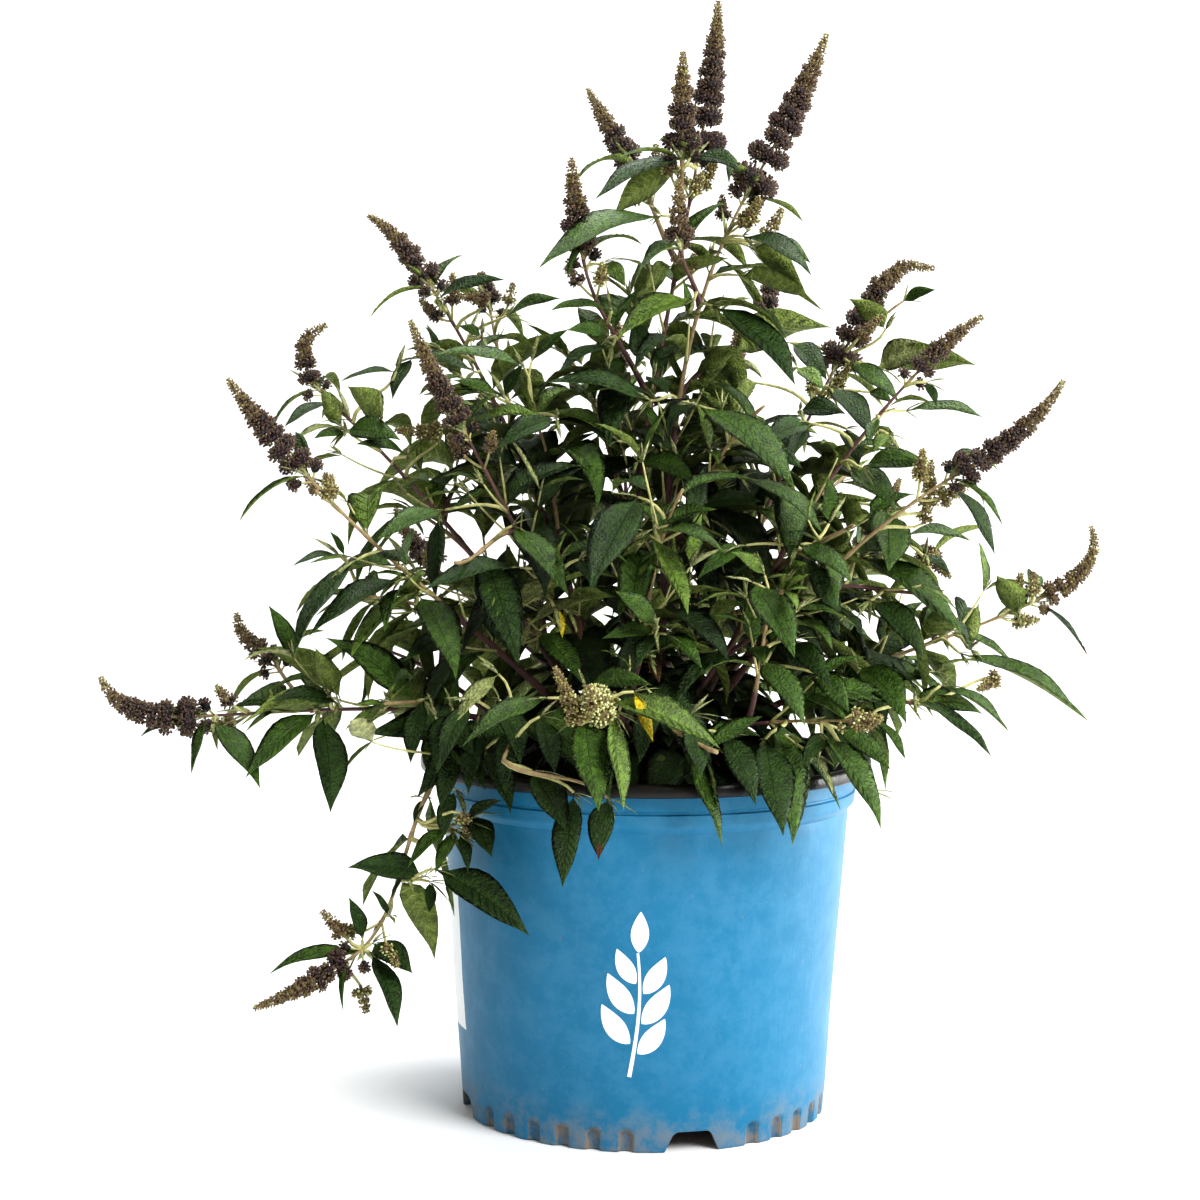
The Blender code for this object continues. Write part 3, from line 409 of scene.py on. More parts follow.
# Where the sky shows between the leaves, in thousandths of the viewer's distance: across, up and the radius.
GAPS = (
    (-69, -47, 12), (-78, -42, 6), (-62, -52, 6), (-77, -59, 6), (-105, -125, 6), (-100, -133, 6), (-105, -142, 10),
    (-97, -148, 6), (-114, -139, 6), (-121, -164, 9), (-124, -151, 5), (-117, -128, 3), (-144, -147, 6),
    (-187, -137, 5), (94, -138, 4), (104, -134, 6), (112, -127, 6), (120, -122, 5), (128, -117, 4), (148, -110, 5),
    (155, -110, 4), (136, -110, 3), (125, -60, 5), (115, -34, 6), (111, -41, 4), (45, 10, 6), (65, 38, 6),
    (56, 44, 4), (74, 34, 3), (-115, -18, 9), (-121, -17, 6), (-24, 51, 4), (-75, 35, 2), (-36, 74, 6), (59, 75, 6),
    (141, -84, 3), (153, -84, 5), (141, -52, 6), (-91, -69, 3), (-87, -55, 4), (-95, -47, 4), (-139, -30, 6),
    (-131, -38, 3), (-111, -187, 3), (-123, -171, 5), (-119, -233, 4), (114, -144, 6), (104, -112, 2), (-4, 71, 2),
    (76, 4, 2),
    (-40, 25, 5), (-63, 22, 5), (-77, 57, 3), (-89, 46, 4), (-91, -49, 4),
    (-91, -65, 3), (103, -68, 3), (115, -70, 3), (111, -52, 2), (94, -124, 3), (-10, 87, 3), (-30, 55, 3),
    (-75, 33, 3), (-41, -29, 3), (-87, 5, 3), (-123, -6, 2), (-125, -20, 2), (-155, -81, 6), (-188, -107, 5),
    (-170, -102, 3), (-144, -131, 3), (-109, -155, 6), (-115, -149, 3), (-48, 51, 3), (-28, 33, 3), (-140, -33, 5),
    (-109, 50, 4), (122, 0, 3), (160, -55, 3), (127, -40, 3), (101, -84, 2), (113, -86, 3), (-71, -47, 4),
    (-20, 31, 2),
)  # fmt: skip


def linear(red, green, blue):
    """A colour given as 0 to 255 on a screen, as the linear values that a shader takes."""
    values = []
    for value in (red / 255, green / 255, blue / 255):
        values.append(value / 12.92 if value <= 0.04045 else ((value + 0.055) / 1.055) ** 2.4)
    return tuple(values)


def number_setting(name, description, default, **kind):
    return FloatProperty(name=name, description=description, default=default, min=0.0, **kind)


length_setting = functools.partial(number_setting, unit="LENGTH")
power_setting = functools.partial(number_setting, unit="POWER")
share_setting = functools.partial(number_setting, subtype="FACTOR")


def colour_setting(name, description, *screen):
    return FloatVectorProperty(
        name=name, description=description, default=linear(*screen), size=3, min=0.0, max=1.0, subtype="COLOR"
    )


class PotSettings(bpy.types.PropertyGroup):
    """Sizes and colours of the pot."""

    wall: colour_setting("Wall", "Colour of the blue wall", 14, 104, 140)
    rim: colour_setting("Rim", "Colour of the black rim and inside", 13, 12, 12)
    dust: colour_setting("Dust", "Colour of dried soil in the flutes", 134, 114, 90)
    ink: colour_setting("Print", "Colour of the printed sprig and panel", 236, 240, 240)
    dent: length_setting("Dent", "How far the thin wall is out of round", 0.0009)


class MixSettings(bpy.types.PropertyGroup):
    """Sizes and colours of the bark mix."""

    soil: colour_setting("Soil", "Colour of the fine mix", 48, 38, 31)
    chip: colour_setting("Chips", "Colour of the bark chips", 92, 68, 50)
    chip_length: length_setting("Chip length", "Length of the largest chips", 0.013)
    density: number_setting("Density", "Chips for each square metre", 26000.0)
    seed: IntProperty(name="Seed", description="Changes how the chips lie", default=4, min=0)


class WoodSettings(bpy.types.PropertyGroup):
    """Sizes and colours of the woody crown and the shoots."""

    bark: colour_setting("Bark", "Colour of the old bark", 104, 84, 66)
    cut: colour_setting("Cut wood", "Colour of the pruned ends", 176, 118, 96)
    dark: colour_setting("Dark cane", "Colour of a ripe cane", 96, 66, 62)
    tan: colour_setting("Tan cane", "Colour of a younger cane", 146, 126, 90)
    green: colour_setting("Green shoot", "Colour of the youngest shoots", 178, 176, 116)
    ridge: length_setting("Ridge", "Height of the bark's ridges", 0.0009)


class LeafSettings(bpy.types.PropertyGroup):
    """Sizes and colours of the leaves."""

    size: share_setting("Size", "Length of a leaf, as a share of the solids' leaf", 0.96)
    width: share_setting("Width", "Width of a broad leaf, as a share of its length", 0.36)
    fold: share_setting("Fold", "How far the two halves rise from the rib", 0.28)
    ripple: share_setting("Ripple", "How far the edge waves, as a share of the width", 0.05)
    deep: colour_setting("Deep", "Upper side of an old leaf", 43, 69, 18)
    middle: colour_setting("Middle", "Upper side of a grown leaf", 66, 95, 27)
    fresh: colour_setting("Fresh", "Upper side of a fresh leaf", 100, 126, 46)
    young: colour_setting("Young", "Upper side of a leaf that is opening", 150, 158, 100)
    yellow: colour_setting("Yellow", "A leaf that is dying back", 196, 174, 30)
    dry: colour_setting("Dry", "A dead leaf", 84, 58, 36)
    # The shade colour is painted shade: leaves deep inside the bush are coloured darker for the shadow there.
    shade: colour_setting("Shade", "Upper side of a leaf deep inside", 31, 51, 13)
    # The underside's yellow-green is partly its own colour and partly painted light shining through the leaf.
    under: colour_setting("Underside", "Underside of a grown leaf", 110, 126, 58)
    downy: colour_setting("Downy", "Underside of a young leaf", 172, 176, 126)


class FlowerSettings(bpy.types.PropertyGroup):
    """Sizes and colours of the flower spikes."""

    bud: length_setting("Bud", "Length of a ripe bud", 0.0024)
    reach: length_setting("Reach", "Radius of the lowest whorl of the largest spike", 0.0164)
    purple: colour_setting("Purple", "Buds near opening", 66, 42, 43)
    brown: colour_setting("Brown", "Buds half grown", 98, 76, 54)
    olive: colour_setting("Olive", "Younger buds", 130, 116, 70)
    green: colour_setting("Green", "Buds at the tip", 156, 150, 90)
    pale: colour_setting("Pale", "Buds of a head that is only opening", 204, 208, 150)
    calyx: colour_setting("Calyx", "The cup below a ripe bud", 136, 120, 86)
    # The core colour is painted shade: a dark middle that shows in the gaps between the buds.
    core: colour_setting("Core", "The gaps between buds", 20, 13, 9)


class StageSettings(bpy.types.PropertyGroup):
    """The floor, the lights and the camera."""

    floor: colour_setting("Floor", "Colour of the floor and the backdrop", 251, 251, 251)
    sky: number_setting("Sky", "Strength of the white surroundings", 0.31)
    key: power_setting("Key light", "Power of the large soft light", 90.0)
    fill: power_setting("Fill light", "Power of the light on the left", 5.0)
    edge: power_setting("Edge light", "Power of the light behind on the right", 44.0)
    top: power_setting("Top light", "Power of the light overhead", 42.0)
    lens: FloatProperty(name="Lens", description="Focal length on a 36 mm frame", default=75.0, unit="CAMERA")


SETTINGS = (
    ("bush_pot", PotSettings),
    ("bush_mix", MixSettings),
    ("bush_wood", WoodSettings),
    ("bush_leaf", LeafSettings),
    ("bush_flower", FlowerSettings),
    ("bush_stage", StageSettings),
)

# ---------------------------------------------------------------- node trees written as expressions


class Socket:
    """An output of a node. Sums and products of it add the Math nodes that work them out."""

    def __init__(self, nodes, output):
        self.nodes = nodes
        self.output = output

    def __getitem__(self, name):
        return Socket(self.nodes, self.output.node.outputs[name])

    def math(self, operation, *terms):
        return self.nodes.node("ShaderNodeMath", {"operation": operation}, dict(enumerate(terms)))

    def operation(kind, *last):
        return lambda self, *terms: self.math(kind, self, *terms, *last)

    __add__ = __radd__ = operation("ADD")
    __mul__ = __rmul__ = operation("MULTIPLY")
    __sub__ = operation("SUBTRACT")
    __truediv__ = operation("DIVIDE")
    __pow__ = operation("POWER")
    sin = operation("SINE")
    cos = operation("COSINE")
    size = operation("ABSOLUTE")
    above = operation("GREATER_THAN")
    below = operation("LESS_THAN")
    at_most = operation("MINIMUM")
    turn_to = operation("ARCTAN2")

    def __rsub__(self, other):
        return self.math("SUBTRACT", other, self)

    def near(self, number):
        return self.math("COMPARE", self, float(number), 0.4)

    def near_range(self, low, high):
        """1 from low to high and 0 outside."""
        return self.above(low) * (1.0 - self.above(high))

    def between(self, low, high):
        """0 at low and 1 at high, smooth between them and flat outside."""
        settings = {"interpolation_type": "SMOOTHSTEP"}
        return self.nodes.node("ShaderNodeMapRange", settings, {0: self, 1: low, 2: high, 3: 0.0, 4: 1.0})


class Nodes:
    """A node tree being filled. Each call of node adds one, with its settings first and then its values."""

    def __init__(self, tree):
        self.tree = tree

    def node(self, kind, settings=None, values=None, output=0):
        made = self.tree.nodes.new(kind)
        for name, value in (settings or {}).items():
            if name == "stops":
                self.set_stops(made.color_ramp, value)
            else:
                setattr(made, name, value)
        for name, value in (values or {}).items():
            if isinstance(value, Socket):
                self.tree.links.new(value.output, made.inputs[name])
            else:
                made.inputs[name].default_value = value
        return Socket(self, made.outputs[output]) if made.outputs else made

    def set_stops(self, ramp, stops):
        while len(ramp.elements) < len(stops):
            ramp.elements.new(1.0)
        for element, (place, colour) in zip(ramp.elements, stops):
            element.position = place
            element.color = colour

    def attribute(self, name, kind="FLOAT"):
        return self.node("GeometryNodeInputNamedAttribute", {"data_type": kind}, {"Name": name})

    def split(self, vector):
        made = self.node("ShaderNodeSeparateXYZ", None, {"Vector": vector})
        return made["X"], made["Y"], made["Z"]

    def vector(self, x, y, z):
        return self.node("ShaderNodeCombineXYZ", None, {"X": x, "Y": y, "Z": z})

    def combine(self, operation, first, second):
        return self.node("ShaderNodeVectorMath", {"operation": operation}, {0: first, 1: second})

    def mix(self, factor, first, second):
        """A colour between two colours."""
        values = {0: factor, 6: first, 7: second}
        return self.node("ShaderNodeMix", {"data_type": "RGBA"}, values, output=2)

    def noise(self, vector, scale, detail=3.0, roughness=0.5):
        values = {"Vector": vector, "Scale": scale, "Detail": detail, "Roughness": roughness}
        return self.node("ShaderNodeTexNoise", None, values)

    def stretched(self, vector, scale):
        return self.node("ShaderNodeMapping", None, {"Vector": vector, "Scale": scale})

    def random(self, kind, low, high, seed):
        """A value between two, another for each thing, of kind FLOAT_VECTOR, FLOAT or INT."""
        order = ("FLOAT_VECTOR", "FLOAT", "INT").index(kind)
        values = {2 * order: low, 2 * order + 1: high, "Seed": seed}
        return self.node("FunctionNodeRandomValue", {"data_type": kind}, values, output=order)

    def realized(self, shape):
        return self.node("GeometryNodeRealizeInstances", None, {"Geometry": shape})

    def painted(self, shape, materials):
        """The shape with each material on the faces that it falls on."""
        for material, where in materials:
            values = {"Geometry": shape, "Selection": where, "Material": material}
            shape = self.node("GeometryNodeSetMaterial", None, values)
        return shape

    def placed(self, forms, points, pick, **turned):
        """The forms of a collection put on points, each picked by its number."""
        values = {"Collection": forms, "Separate Children": True, "Reset Children": True}
        forms = self.node("GeometryNodeCollectionInfo", None, values)
        values = {"Points": points, "Instance": forms, "Pick Instance": True, "Instance Index": pick}
        return self.node("GeometryNodeInstanceOnPoints", None, values | turned)


def opaque(colour):
    return (*colour, 1.0)


def shaded(colour, share):
    """A colour made darker, below 1, or lighter."""
    return tuple(min(1.0, value * share) for value in colour)


def finish(name, make, gloss=0.5):
    """A material whose colour, roughness and height come from make(nodes, object coordinates)."""
    made = bpy.data.materials.new(name)
    made.use_nodes = True
    nodes = Nodes(made.node_tree)
    shader = made.node_tree.nodes["Principled BSDF"]
    place = nodes.node("ShaderNodeTexCoord", output="Object")
    colour, roughness, height, depth = make(nodes, place)
    bump = nodes.node("ShaderNodeBump", None, {"Distance": depth, "Height": height})
    for name, socket in (("Base Color", colour), ("Roughness", roughness), ("Normal", bump)):
        made.node_tree.links.new(socket.output, shader.inputs[name])
    shader.inputs["Specular IOR Level"].default_value = gloss
    return made


def mottled(name, colour, roughness, scale, depth, contrast=0.16, gloss=0.5):
    """A finish for small things: one colour with a fine mottling and a little relief."""

    def make(nodes, place):
        patches = nodes.noise(place, scale, 3.0)
        cells = nodes.noise(place, scale * 3.6, 2.0)
        blend = (patches * 0.6 + cells * 0.4).between(0.34, 0.66)
        tint = nodes.mix(blend, opaque(shaded(colour, 1 - contrast)), opaque(shaded(colour, 1 + contrast)))
        return tint, roughness + patches * 0.12, cells, depth

    return finish(name, make, gloss)


def geometry_tree(name, inputs):
    """An empty geometry tree with named inputs, and its two end nodes."""
    kinds = {float: "NodeSocketFloat", int: "NodeSocketInt", bpy.types.Collection: "NodeSocketCollection"}
    tree = bpy.data.node_groups.new(name, "GeometryNodeTree")
    tree.interface.new_socket("Geometry", in_out="INPUT", socket_type="NodeSocketGeometry")
    for label, value in inputs.items():
        tree.interface.new_socket(label, in_out="INPUT", socket_type=kinds[type(value)])
    tree.interface.new_socket("Geometry", in_out="OUTPUT", socket_type="NodeSocketGeometry")
    nodes = Nodes(tree)
    given = nodes.node("NodeGroupInput")
    return nodes, given


def end_tree(nodes, shape, materials):
    """Ends a tree with smooth faces and its materials."""
    shape = nodes.node("GeometryNodeSetShadeSmooth", None, {"Geometry": shape})
    nodes.node("NodeGroupOutput", None, {"Geometry": nodes.painted(shape, materials)})
    return nodes


def run_tree(name, nodes, mesh, inputs):
    """The plain object that a geometry tree makes of a mesh."""
    obj = new_object(name, mesh)
    modifier = obj.modifiers.new(name, "NODES")
    modifier.node_group = nodes.tree
    for item in nodes.tree.interface.items_tree:
        if item.in_out == "INPUT" and item.name in inputs:
            modifier[item.identifier] = inputs[item.name]
    made = evaluated_mesh(obj)
    obj.modifiers.clear()
    obj.data = made
    for attribute in [a.name for a in made.attributes if not a.is_required and not a.is_internal]:
        if attribute not in ("sharp_face", "material_index"):
            made.attributes.remove(made.attributes[attribute])
    bpy.data.meshes.remove(mesh)
    made.name = name
    return obj


def evaluated_mesh(obj):
    graph = bpy.context.evaluated_depsgraph_get()
    return bpy.data.meshes.new_from_object(obj.evaluated_get(graph))


def new_object(name, data, *materials):
    obj = bpy.data.objects.new(name, data)
    bpy.context.scene.collection.objects.link(obj)
    for material in materials:
        data.materials.append(material)
    return obj


def points_mesh(name, kinds, rows):
    """A mesh of loose points for a tree. A row has a point's place, then a value for each attribute in kinds."""
    places, *columns = zip(*rows)
    mesh = bpy.data.meshes.new(name)
    mesh.vertices.add(len(rows))
    mesh.vertices.foreach_set("co", np.array(places, dtype=np.float32).ravel())
    for (label, kind), values in zip(kinds.items(), columns):
        field = "vector" if kind == "FLOAT_VECTOR" else "value"
        mesh.attributes.new(label, kind, "POINT").data.foreach_set(field, np.array(values).ravel())
    return mesh


def grid_faces(rows, columns, wrap=False):
    """Quads between neighbours in a grid of points numbered row by row."""
    faces = []
    for i in range(rows - 1):
        for j in range(columns if wrap else columns - 1):
            k = (j + 1) % columns
            faces.append((i * columns + j, i * columns + k, (i + 1) * columns + k, (i + 1) * columns + j))
    return faces


def mesh_from(shape, name, outward=True):
    """The mesh of a bmesh, which is freed."""
    if outward:
        bmesh.ops.recalc_face_normals(shape, faces=shape.faces)
    mesh = bpy.data.meshes.new(name)
    shape.to_mesh(mesh)
    shape.free()
    return mesh


def changed(obj, name, kind, **settings):
    """Applies a modifier to a plain object."""
    modifier = obj.modifiers.new(name, kind)
    for label, value in settings.items():
        setattr(modifier, label, value)
    old, obj.data = obj.data, evaluated_mesh(obj)
    obj.modifiers.clear()
    bpy.data.meshes.remove(old)


def finished(piece, slot, *nodes):
    """Puts a piece in the frame: it rides on the one body and stands for its solids. The slot is not used."""
    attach(piece, "root")
    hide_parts(*nodes)


# ---------------------------------------------------------------- growth, by the solids' rule


class Path:
    """A smooth line, read by its length."""

    def __init__(self, points):
        self.points = points
        self.marks = [0.0]
        for a, b in zip(points, points[1:]):
            self.marks.append(self.marks[-1] + (b - a).length)
        self.length = self.marks[-1]

    def at(self, distance):
        """The point and the direction at a distance from the start."""
        distance = min(max(distance, 0.0), self.length)
        index = 1
        while index < len(self.marks) - 1 and self.marks[index] < distance:
            index += 1
        start, end = self.points[index - 1], self.points[index]
        span = self.marks[index] - self.marks[index - 1]
        return start.lerp(end, (distance - self.marks[index - 1]) / span), (end - start).normalized()


def sloped(azimuth, pitch):
    return Vector((math.cos(azimuth) * math.cos(pitch), math.sin(azimuth) * math.cos(pitch), math.sin(pitch)))


def cubic(start, start_way, end, end_way, count=36):
    """Points of a smooth line from start to end that leaves and arrives along those directions."""
    chord = (end - start).length
    first = start + start_way * chord * LEAVING_PULL
    second = end - end_way * chord * ARRIVING_PULL
    points = []
    for i in range(count + 1):
        t = i / count
        a = start.lerp(first, t).lerp(first.lerp(second, t), t)
        b = first.lerp(second, t).lerp(second.lerp(end, t), t)
        points.append(a.lerp(b, t))
    return points


def cane_path(start, cane, offset):
    """A cane's line from near start to its end, at the cane's pitches at the two."""
    end = Vector(cane.end)
    azimuth = math.atan2(end.y - start.y, end.x - start.x)
    foot = azimuth + math.radians(cane.swing)
    start = start + sloped(foot, 0) * offset
    leaving = sloped(foot, math.radians(cane.leaves))
    arriving = sloped(azimuth, math.radians(cane.arrives))
    if cane.knee is None:
        return Path(cubic(start, leaving, end, arriving))
    knee = Vector(cane.knee)
    over = sloped(azimuth, math.radians(KNEE_PITCH))
    return Path(cubic(start, leaving, knee, over) + cubic(knee, over, end, arriving)[1:])


def spike_line(path, length, curl, count=12):
    """The line of a flower spike, which goes on from the end of its cane and bends as it goes."""
    point, way = path.at(path.length)
    side = Vector((way.x, way.y, 0)).cross(UP)
    axis = side.normalized() if side.length > 0.05 else Vector((0, -1, 0))
    points = [point]
    for i in range(count):
        turned = Matrix.Rotation(math.radians(curl) * ((i + 1) / count) ** SPIKE_BEND, 3, axis) @ way
        points.append(points[-1] + turned * length / count)
    return Path(points)


def even(start, end, step):
    count = max(1, round((end - start) / step))
    return [start + (end - start) * i / count for i in range(count + 1)]


def cane_radius(path_length, distance):
    foot = BASE_THICKNESS + THICKNESS_PER_LENGTH * path_length
    return foot + (TIP_THICKNESS - foot) * min(1.0, distance / path_length)


def bent(way, droop):
    return (way - UP * droop).normalized()


Leaf = namedtuple("Leaf", "root way face length width droop tone form")
Stem = namedtuple("Stem", "points radii tone")
Bud = namedtuple("Bud", "place way length width tone form")
GrownCane = namedtuple("GrownCane", "cane path start whole tiers rng index")


def beside(path, distance, turn):
    """A point of a path, the direction there and the direction away from the path at a turn round it."""
    point, way = path.at(distance)
    return point, way, Matrix.Rotation(turn, 3, way) @ way.orthogonal().normalized()


def leaf_at(path, distance, turn, length, spreads, rng, tone=MIDDLE, form=BROAD_LEAF, ratio=0.32):
    """A leaf that leaves a cane at a turn round it, faces the light and droops with its length."""
    root, way, out = beside(path, distance, turn)
    spread = math.radians(rng.uniform(*spreads))
    leaving = (way * math.cos(spread) + out * math.sin(spread)).normalized()
    inner = way * math.sin(spread) - out * math.cos(spread)
    sky = UP - leaving * leaving.z
    face = (inner * LEAF_TILT[0] + sky * LEAF_TILT[1]).normalized()
    width = length * ratio * rng.uniform(0.9, 1.1)
    droop = rng.uniform(0.5, 1.2) * length / LEAF_LENGTH
    return Leaf(root, leaving, face, length, width, droop, tone, form)


def leaf_length(share, rng):
    """Leaves are longest over the middle of a cane, and small below the flower spike, where share is 0."""
    fullness = math.sin(math.pi * min(1.0, 1.15 - share)) ** 0.8
    return LEAF_LENGTH * (LEAF_SMALLEST + (1 - LEAF_SMALLEST) * fullness) * rng.uniform(0.9, 1.08)


LEAF_FACES = ((0, 4, 1), (0, 2, 4), (3, 1, 4), (3, 4, 2), (0, 1, 5), (0, 5, 2), (3, 5, 1), (3, 2, 5))
TEST_ROOT = 0.14
TEST_THICKNESS = 0.02


def test_corners(leaf, spare):
    """A coarse stand-in for a leaf, from a little past its root to its tip."""
    first = bent(leaf.way, 0.2 * leaf.droop)
    last = bent(leaf.way, leaf.droop)
    middle = leaf.root + first * leaf.length * LEAF_WIDEST
    tip = middle + last * (leaf.length * (1 - LEAF_WIDEST) + spare)
    across = first.cross(leaf.face).normalized()
    upward = across.cross((first + last).normalized()).normalized()
    half = leaf.width / 2 + spare
    thick = leaf.length * TEST_THICKNESS / 2 + spare
    return [
        leaf.root + first * leaf.length * TEST_ROOT,
        middle - across * half,
        middle + across * half,
        tip,
        middle + upward * thick,
        middle - upward * thick,
    ]


class Room:
    """What is taken already, each thing with the ball round it, so that a new leaf can be tested."""

    def __init__(self):
        self.balls = np.zeros((16000, 4))
        self.trees = []
        self.owners = []

    def add(self, corners, faces, owner=None):
        points = np.array([tuple(corner) for corner in corners])
        centre = (points.min(axis=0) + points.max(axis=0)) / 2
        self.balls[len(self.trees)] = (*centre, np.linalg.norm(points - centre, axis=1).max())
        self.trees.append(BVHTree.FromPolygons(corners, faces))
        self.owners.append(owner)

    def free_for(self, corners, owner=None):
        points = np.array([tuple(corner) for corner in corners])
        centre = points.mean(axis=0)
        reach = np.linalg.norm(points - centre, axis=1).max()
        taken = self.balls[: len(self.trees)]
        apart = np.linalg.norm(taken[:, :3] - centre, axis=1)
        tree = BVHTree.FromPolygons(corners, LEAF_FACES)
        for i in np.nonzero(apart < taken[:, 3] + reach)[0]:
            if (owner is None or self.owners[i] != owner) and self.trees[i].overlap(tree):
                return False
        return True


class Bush:
    """The plant as lines, leaves and buds, before any of it is a mesh."""

    def __init__(self, size, width, bud, reach):
        self.size = size
        self.width = width
        self.bud = bud
        self.reach = reach
        self.room = Room()
        self.leaves = []
        self.stems = []
        self.buds = []
        self.extra = random.Random(77)
        for name in ("pot", "potting_mix"):
            mesh = bpy.data.objects[name].data
            corners = [vertex.co.copy() for vertex in mesh.vertices]
            self.room.add(corners, [tuple(polygon.vertices) for polygon in mesh.polygons])
        self.firsts = {cane.mass: cane_path(CROWN_CENTRE, cane, FOOT_OFFSET) for cane in CANES if not cane.fork}
        self.starts = {
            mass: max(path.length * BARE_SHARE, STUB_LENGTH + SHORTEST_BOUGH)
            for mass, path in self.firsts.items()
        }
        self.canes = [self.grow_cane(index, cane) for index, cane in enumerate(CANES)]
        self.sights = []
        self.shown = np.zeros((0, 4))
        self.set_leaves()
        self.grow_leaves()
        self.grow_tips()
        self.grow_flowers()
        self.grow_inner_leaves()

    def sight(self, place, radius):
        """Where the viewer sees a place, how far off it is and a radius round it, as shares of that."""
        offset = place - CAMERA_PLACE
        self.sights.append((offset.x / offset.y, offset.z / offset.y, offset.y, radius / offset.y))

    def set_leaves(self):
        """The large leaves in front, each on a stalk from the nearest cane, and the small spikes between them."""
        for row in SET_LEAVES:
            root, tip, scale = self.set_back(row[:3], row[3:6])
            shown, tone = scale * row[6] / 1000, row[7]
            aim = (tip - root).normalized()
            length = (tip - root).length * SET_STRETCH
            toward = CAMERA_PLACE - (root + tip) / 2
            toward = (toward - aim * toward.dot(aim)).normalized()
            side = aim.cross(toward)
            side = -side if side.z < 0 else side
            width = max(shown, length * SET_WIDTH)
            turn = math.acos(SET_WAVE * shown / width)
            face = toward * math.cos(turn) * (-1 if tone >= UNDERSIDE else 1) + side * math.sin(turn)
            way = aim + UP * SET_LIFT * SET_DROOP
            droop, tone = SET_DROOP / way.length, tone % UNDERSIDE
            leaf = Leaf(root, way.normalized(), face, length, width, droop, tone, FRONT_LEAF)
            self.leaves.append(leaf)
            self.room.add(test_corners(leaf, 0.0), LEAF_FACES)
            stalk, mass = self.stalk_to(root, aim)
            self.grow_tuft(stalk, stalk.length, 0.5, mass, SET_TUFT)
            for share in SIGHT_SHARES:
                self.sight(root.lerp(tip, share), shown * 0.5)
        for row in SIDE_SPIKES:
            start, end, _ = self.set_back(row[:3], row[3:])
            self.stalk_to(start, (end - start).normalized())
            length = (end - start).length
            self.sight(start.lerp(end, SPIKE_SIGHT), SPIKE_SIGHT * length)
            youth = SET_SPIKE_YOUTH if row in SIDE_SPIKES[:-RIPE_SPIKES] else RIPE_SPIKE_YOUTH
            self.spike(Path([start, start.lerp(end, 0.5), end]), length, SIDE_GIRTH, youth, self.extra)
        self.sights += [(across / 1000, up / 1000, math.inf, radius / 1000) for across, up, radius in GAPS]
        self.shown = np.array(self.sights)

    def set_back(self, start, end):
        """The two ends of a thing as the viewer sees them, further back where it would be far from any cane."""
        best = None
        for scale in BACK_SCALES:
            ends = [CAMERA_PLACE + (Vector(point) / 1000 - CAMERA_PLACE) * scale for point in (start, end)]
            gap = max(self.nearest_cane(ends[0])[0], LONG_STALK)
            if best is None or gap < best[0] - BACK_GAIN:
                best = (gap, *ends, scale)
        return best[1:]

    def nearest_cane(self, place):
        """How far the nearest cane is, with more for one that is above or in front, and where it is met."""
        best = None
        for grown in self.canes:
            for distance in even(grown.start, grown.path.length, 0.012):
                point, way = grown.path.at(distance)
                gap = (point - place).length + max(0.0, point.z - place.z) + max(0.0, place.y - point.y)
                if best is None or gap < best[0]:
                    best = (gap, point, way, grown.cane.mass)
        return best

    def stalk_to(self, place, aim):
        """A thin stalk from the nearest cane to a place, and that cane's mass."""
        _, point, way, mass = self.nearest_cane(place)
        leaving = (way + (place - point).normalized()).normalized()
        arriving = (aim + (place - point).normalized() * 1.5).normalized()
        stalk = Path(cubic(point, leaving, place, arriving, 8))
        tone = 1 + (stalk.length < STALK_GREEN)
        self.add_stem(stalk, 0, stalk.length, lambda d: STALK_FOOT - STALK_THINS * d / stalk.length, tone)
        return stalk, mass

    def hides(self, corners):
        """Whether a leaf would stand between the viewer and a thing or a gap that is given."""
        middle = (corners[1] + corners[2]) / 2
        for point in (corners[0].lerp(middle, 0.5), *corners[1:4], middle, middle.lerp(corners[3], 0.5)):
            offset = point - CAMERA_PLACE
            across = self.shown[:, 0] - offset.x / offset.y
            rise = self.shown[:, 1] - offset.z / offset.y
            if ((across**2 + rise**2 < self.shown[:, 3] ** 2) & (offset.y < self.shown[:, 2])).any():
                return True
        return False

    def add_stem(self, path, start, end, radius_at, tone, step=0.006, owner=None):
        """A tube along part of a path. One with an owner also takes up room."""
        distances = even(start, end, step)
        points = [path.at(distance)[0] for distance in distances]
        radii = [radius_at(distance) for distance in distances]
        self.stems.append(Stem(points, radii, tone))
        if owner is None:
            return
        side = (points[-1] - points[0]).orthogonal().normalized()
        other = side.cross((points[-1] - points[0]).normalized())
        corners = []
        for point, radius in zip(points, radii):
            corners += [point + side * radius, point + other * radius, point - side * radius, point - other * radius]
        self.room.add(corners, grid_faces(len(points), 4, wrap=True), owner)

    def grow_cane(self, index, cane):
        """A cane's tube, thickened at each pair of leaves."""
        first = self.firsts[cane.mass]
        rng = random.Random(index)
        if cane.fork:
            fork = self.starts[cane.mass] + (first.length - self.starts[cane.mass]) * cane.fork
            path = cane_path(first.at(fork)[0], cane, 0.0)
            start, whole = 0.0, max(path.length, SHORTEST_FORK)
        else:
            path, start, whole = first, self.starts[cane.mass], first.length
        tiers = max(1, int((path.length - start - 2 * FIRST_LEAF) / LEAF_STEP))
        joints = [path.length - FIRST_LEAF - tier * LEAF_STEP for tier in range(tiers)]

        def radius_at(distance):
            nearest = min(abs(distance - joint) for joint in joints)
            thinned = 1 - THINNED * min(1.0, 2 * (distance - start) / (path.length - start))
            swell = JOINT_SWELL * math.exp(-((nearest / JOINT_LENGTH) ** 2))
            return cane_radius(whole, distance) * thinned * (1 + swell)

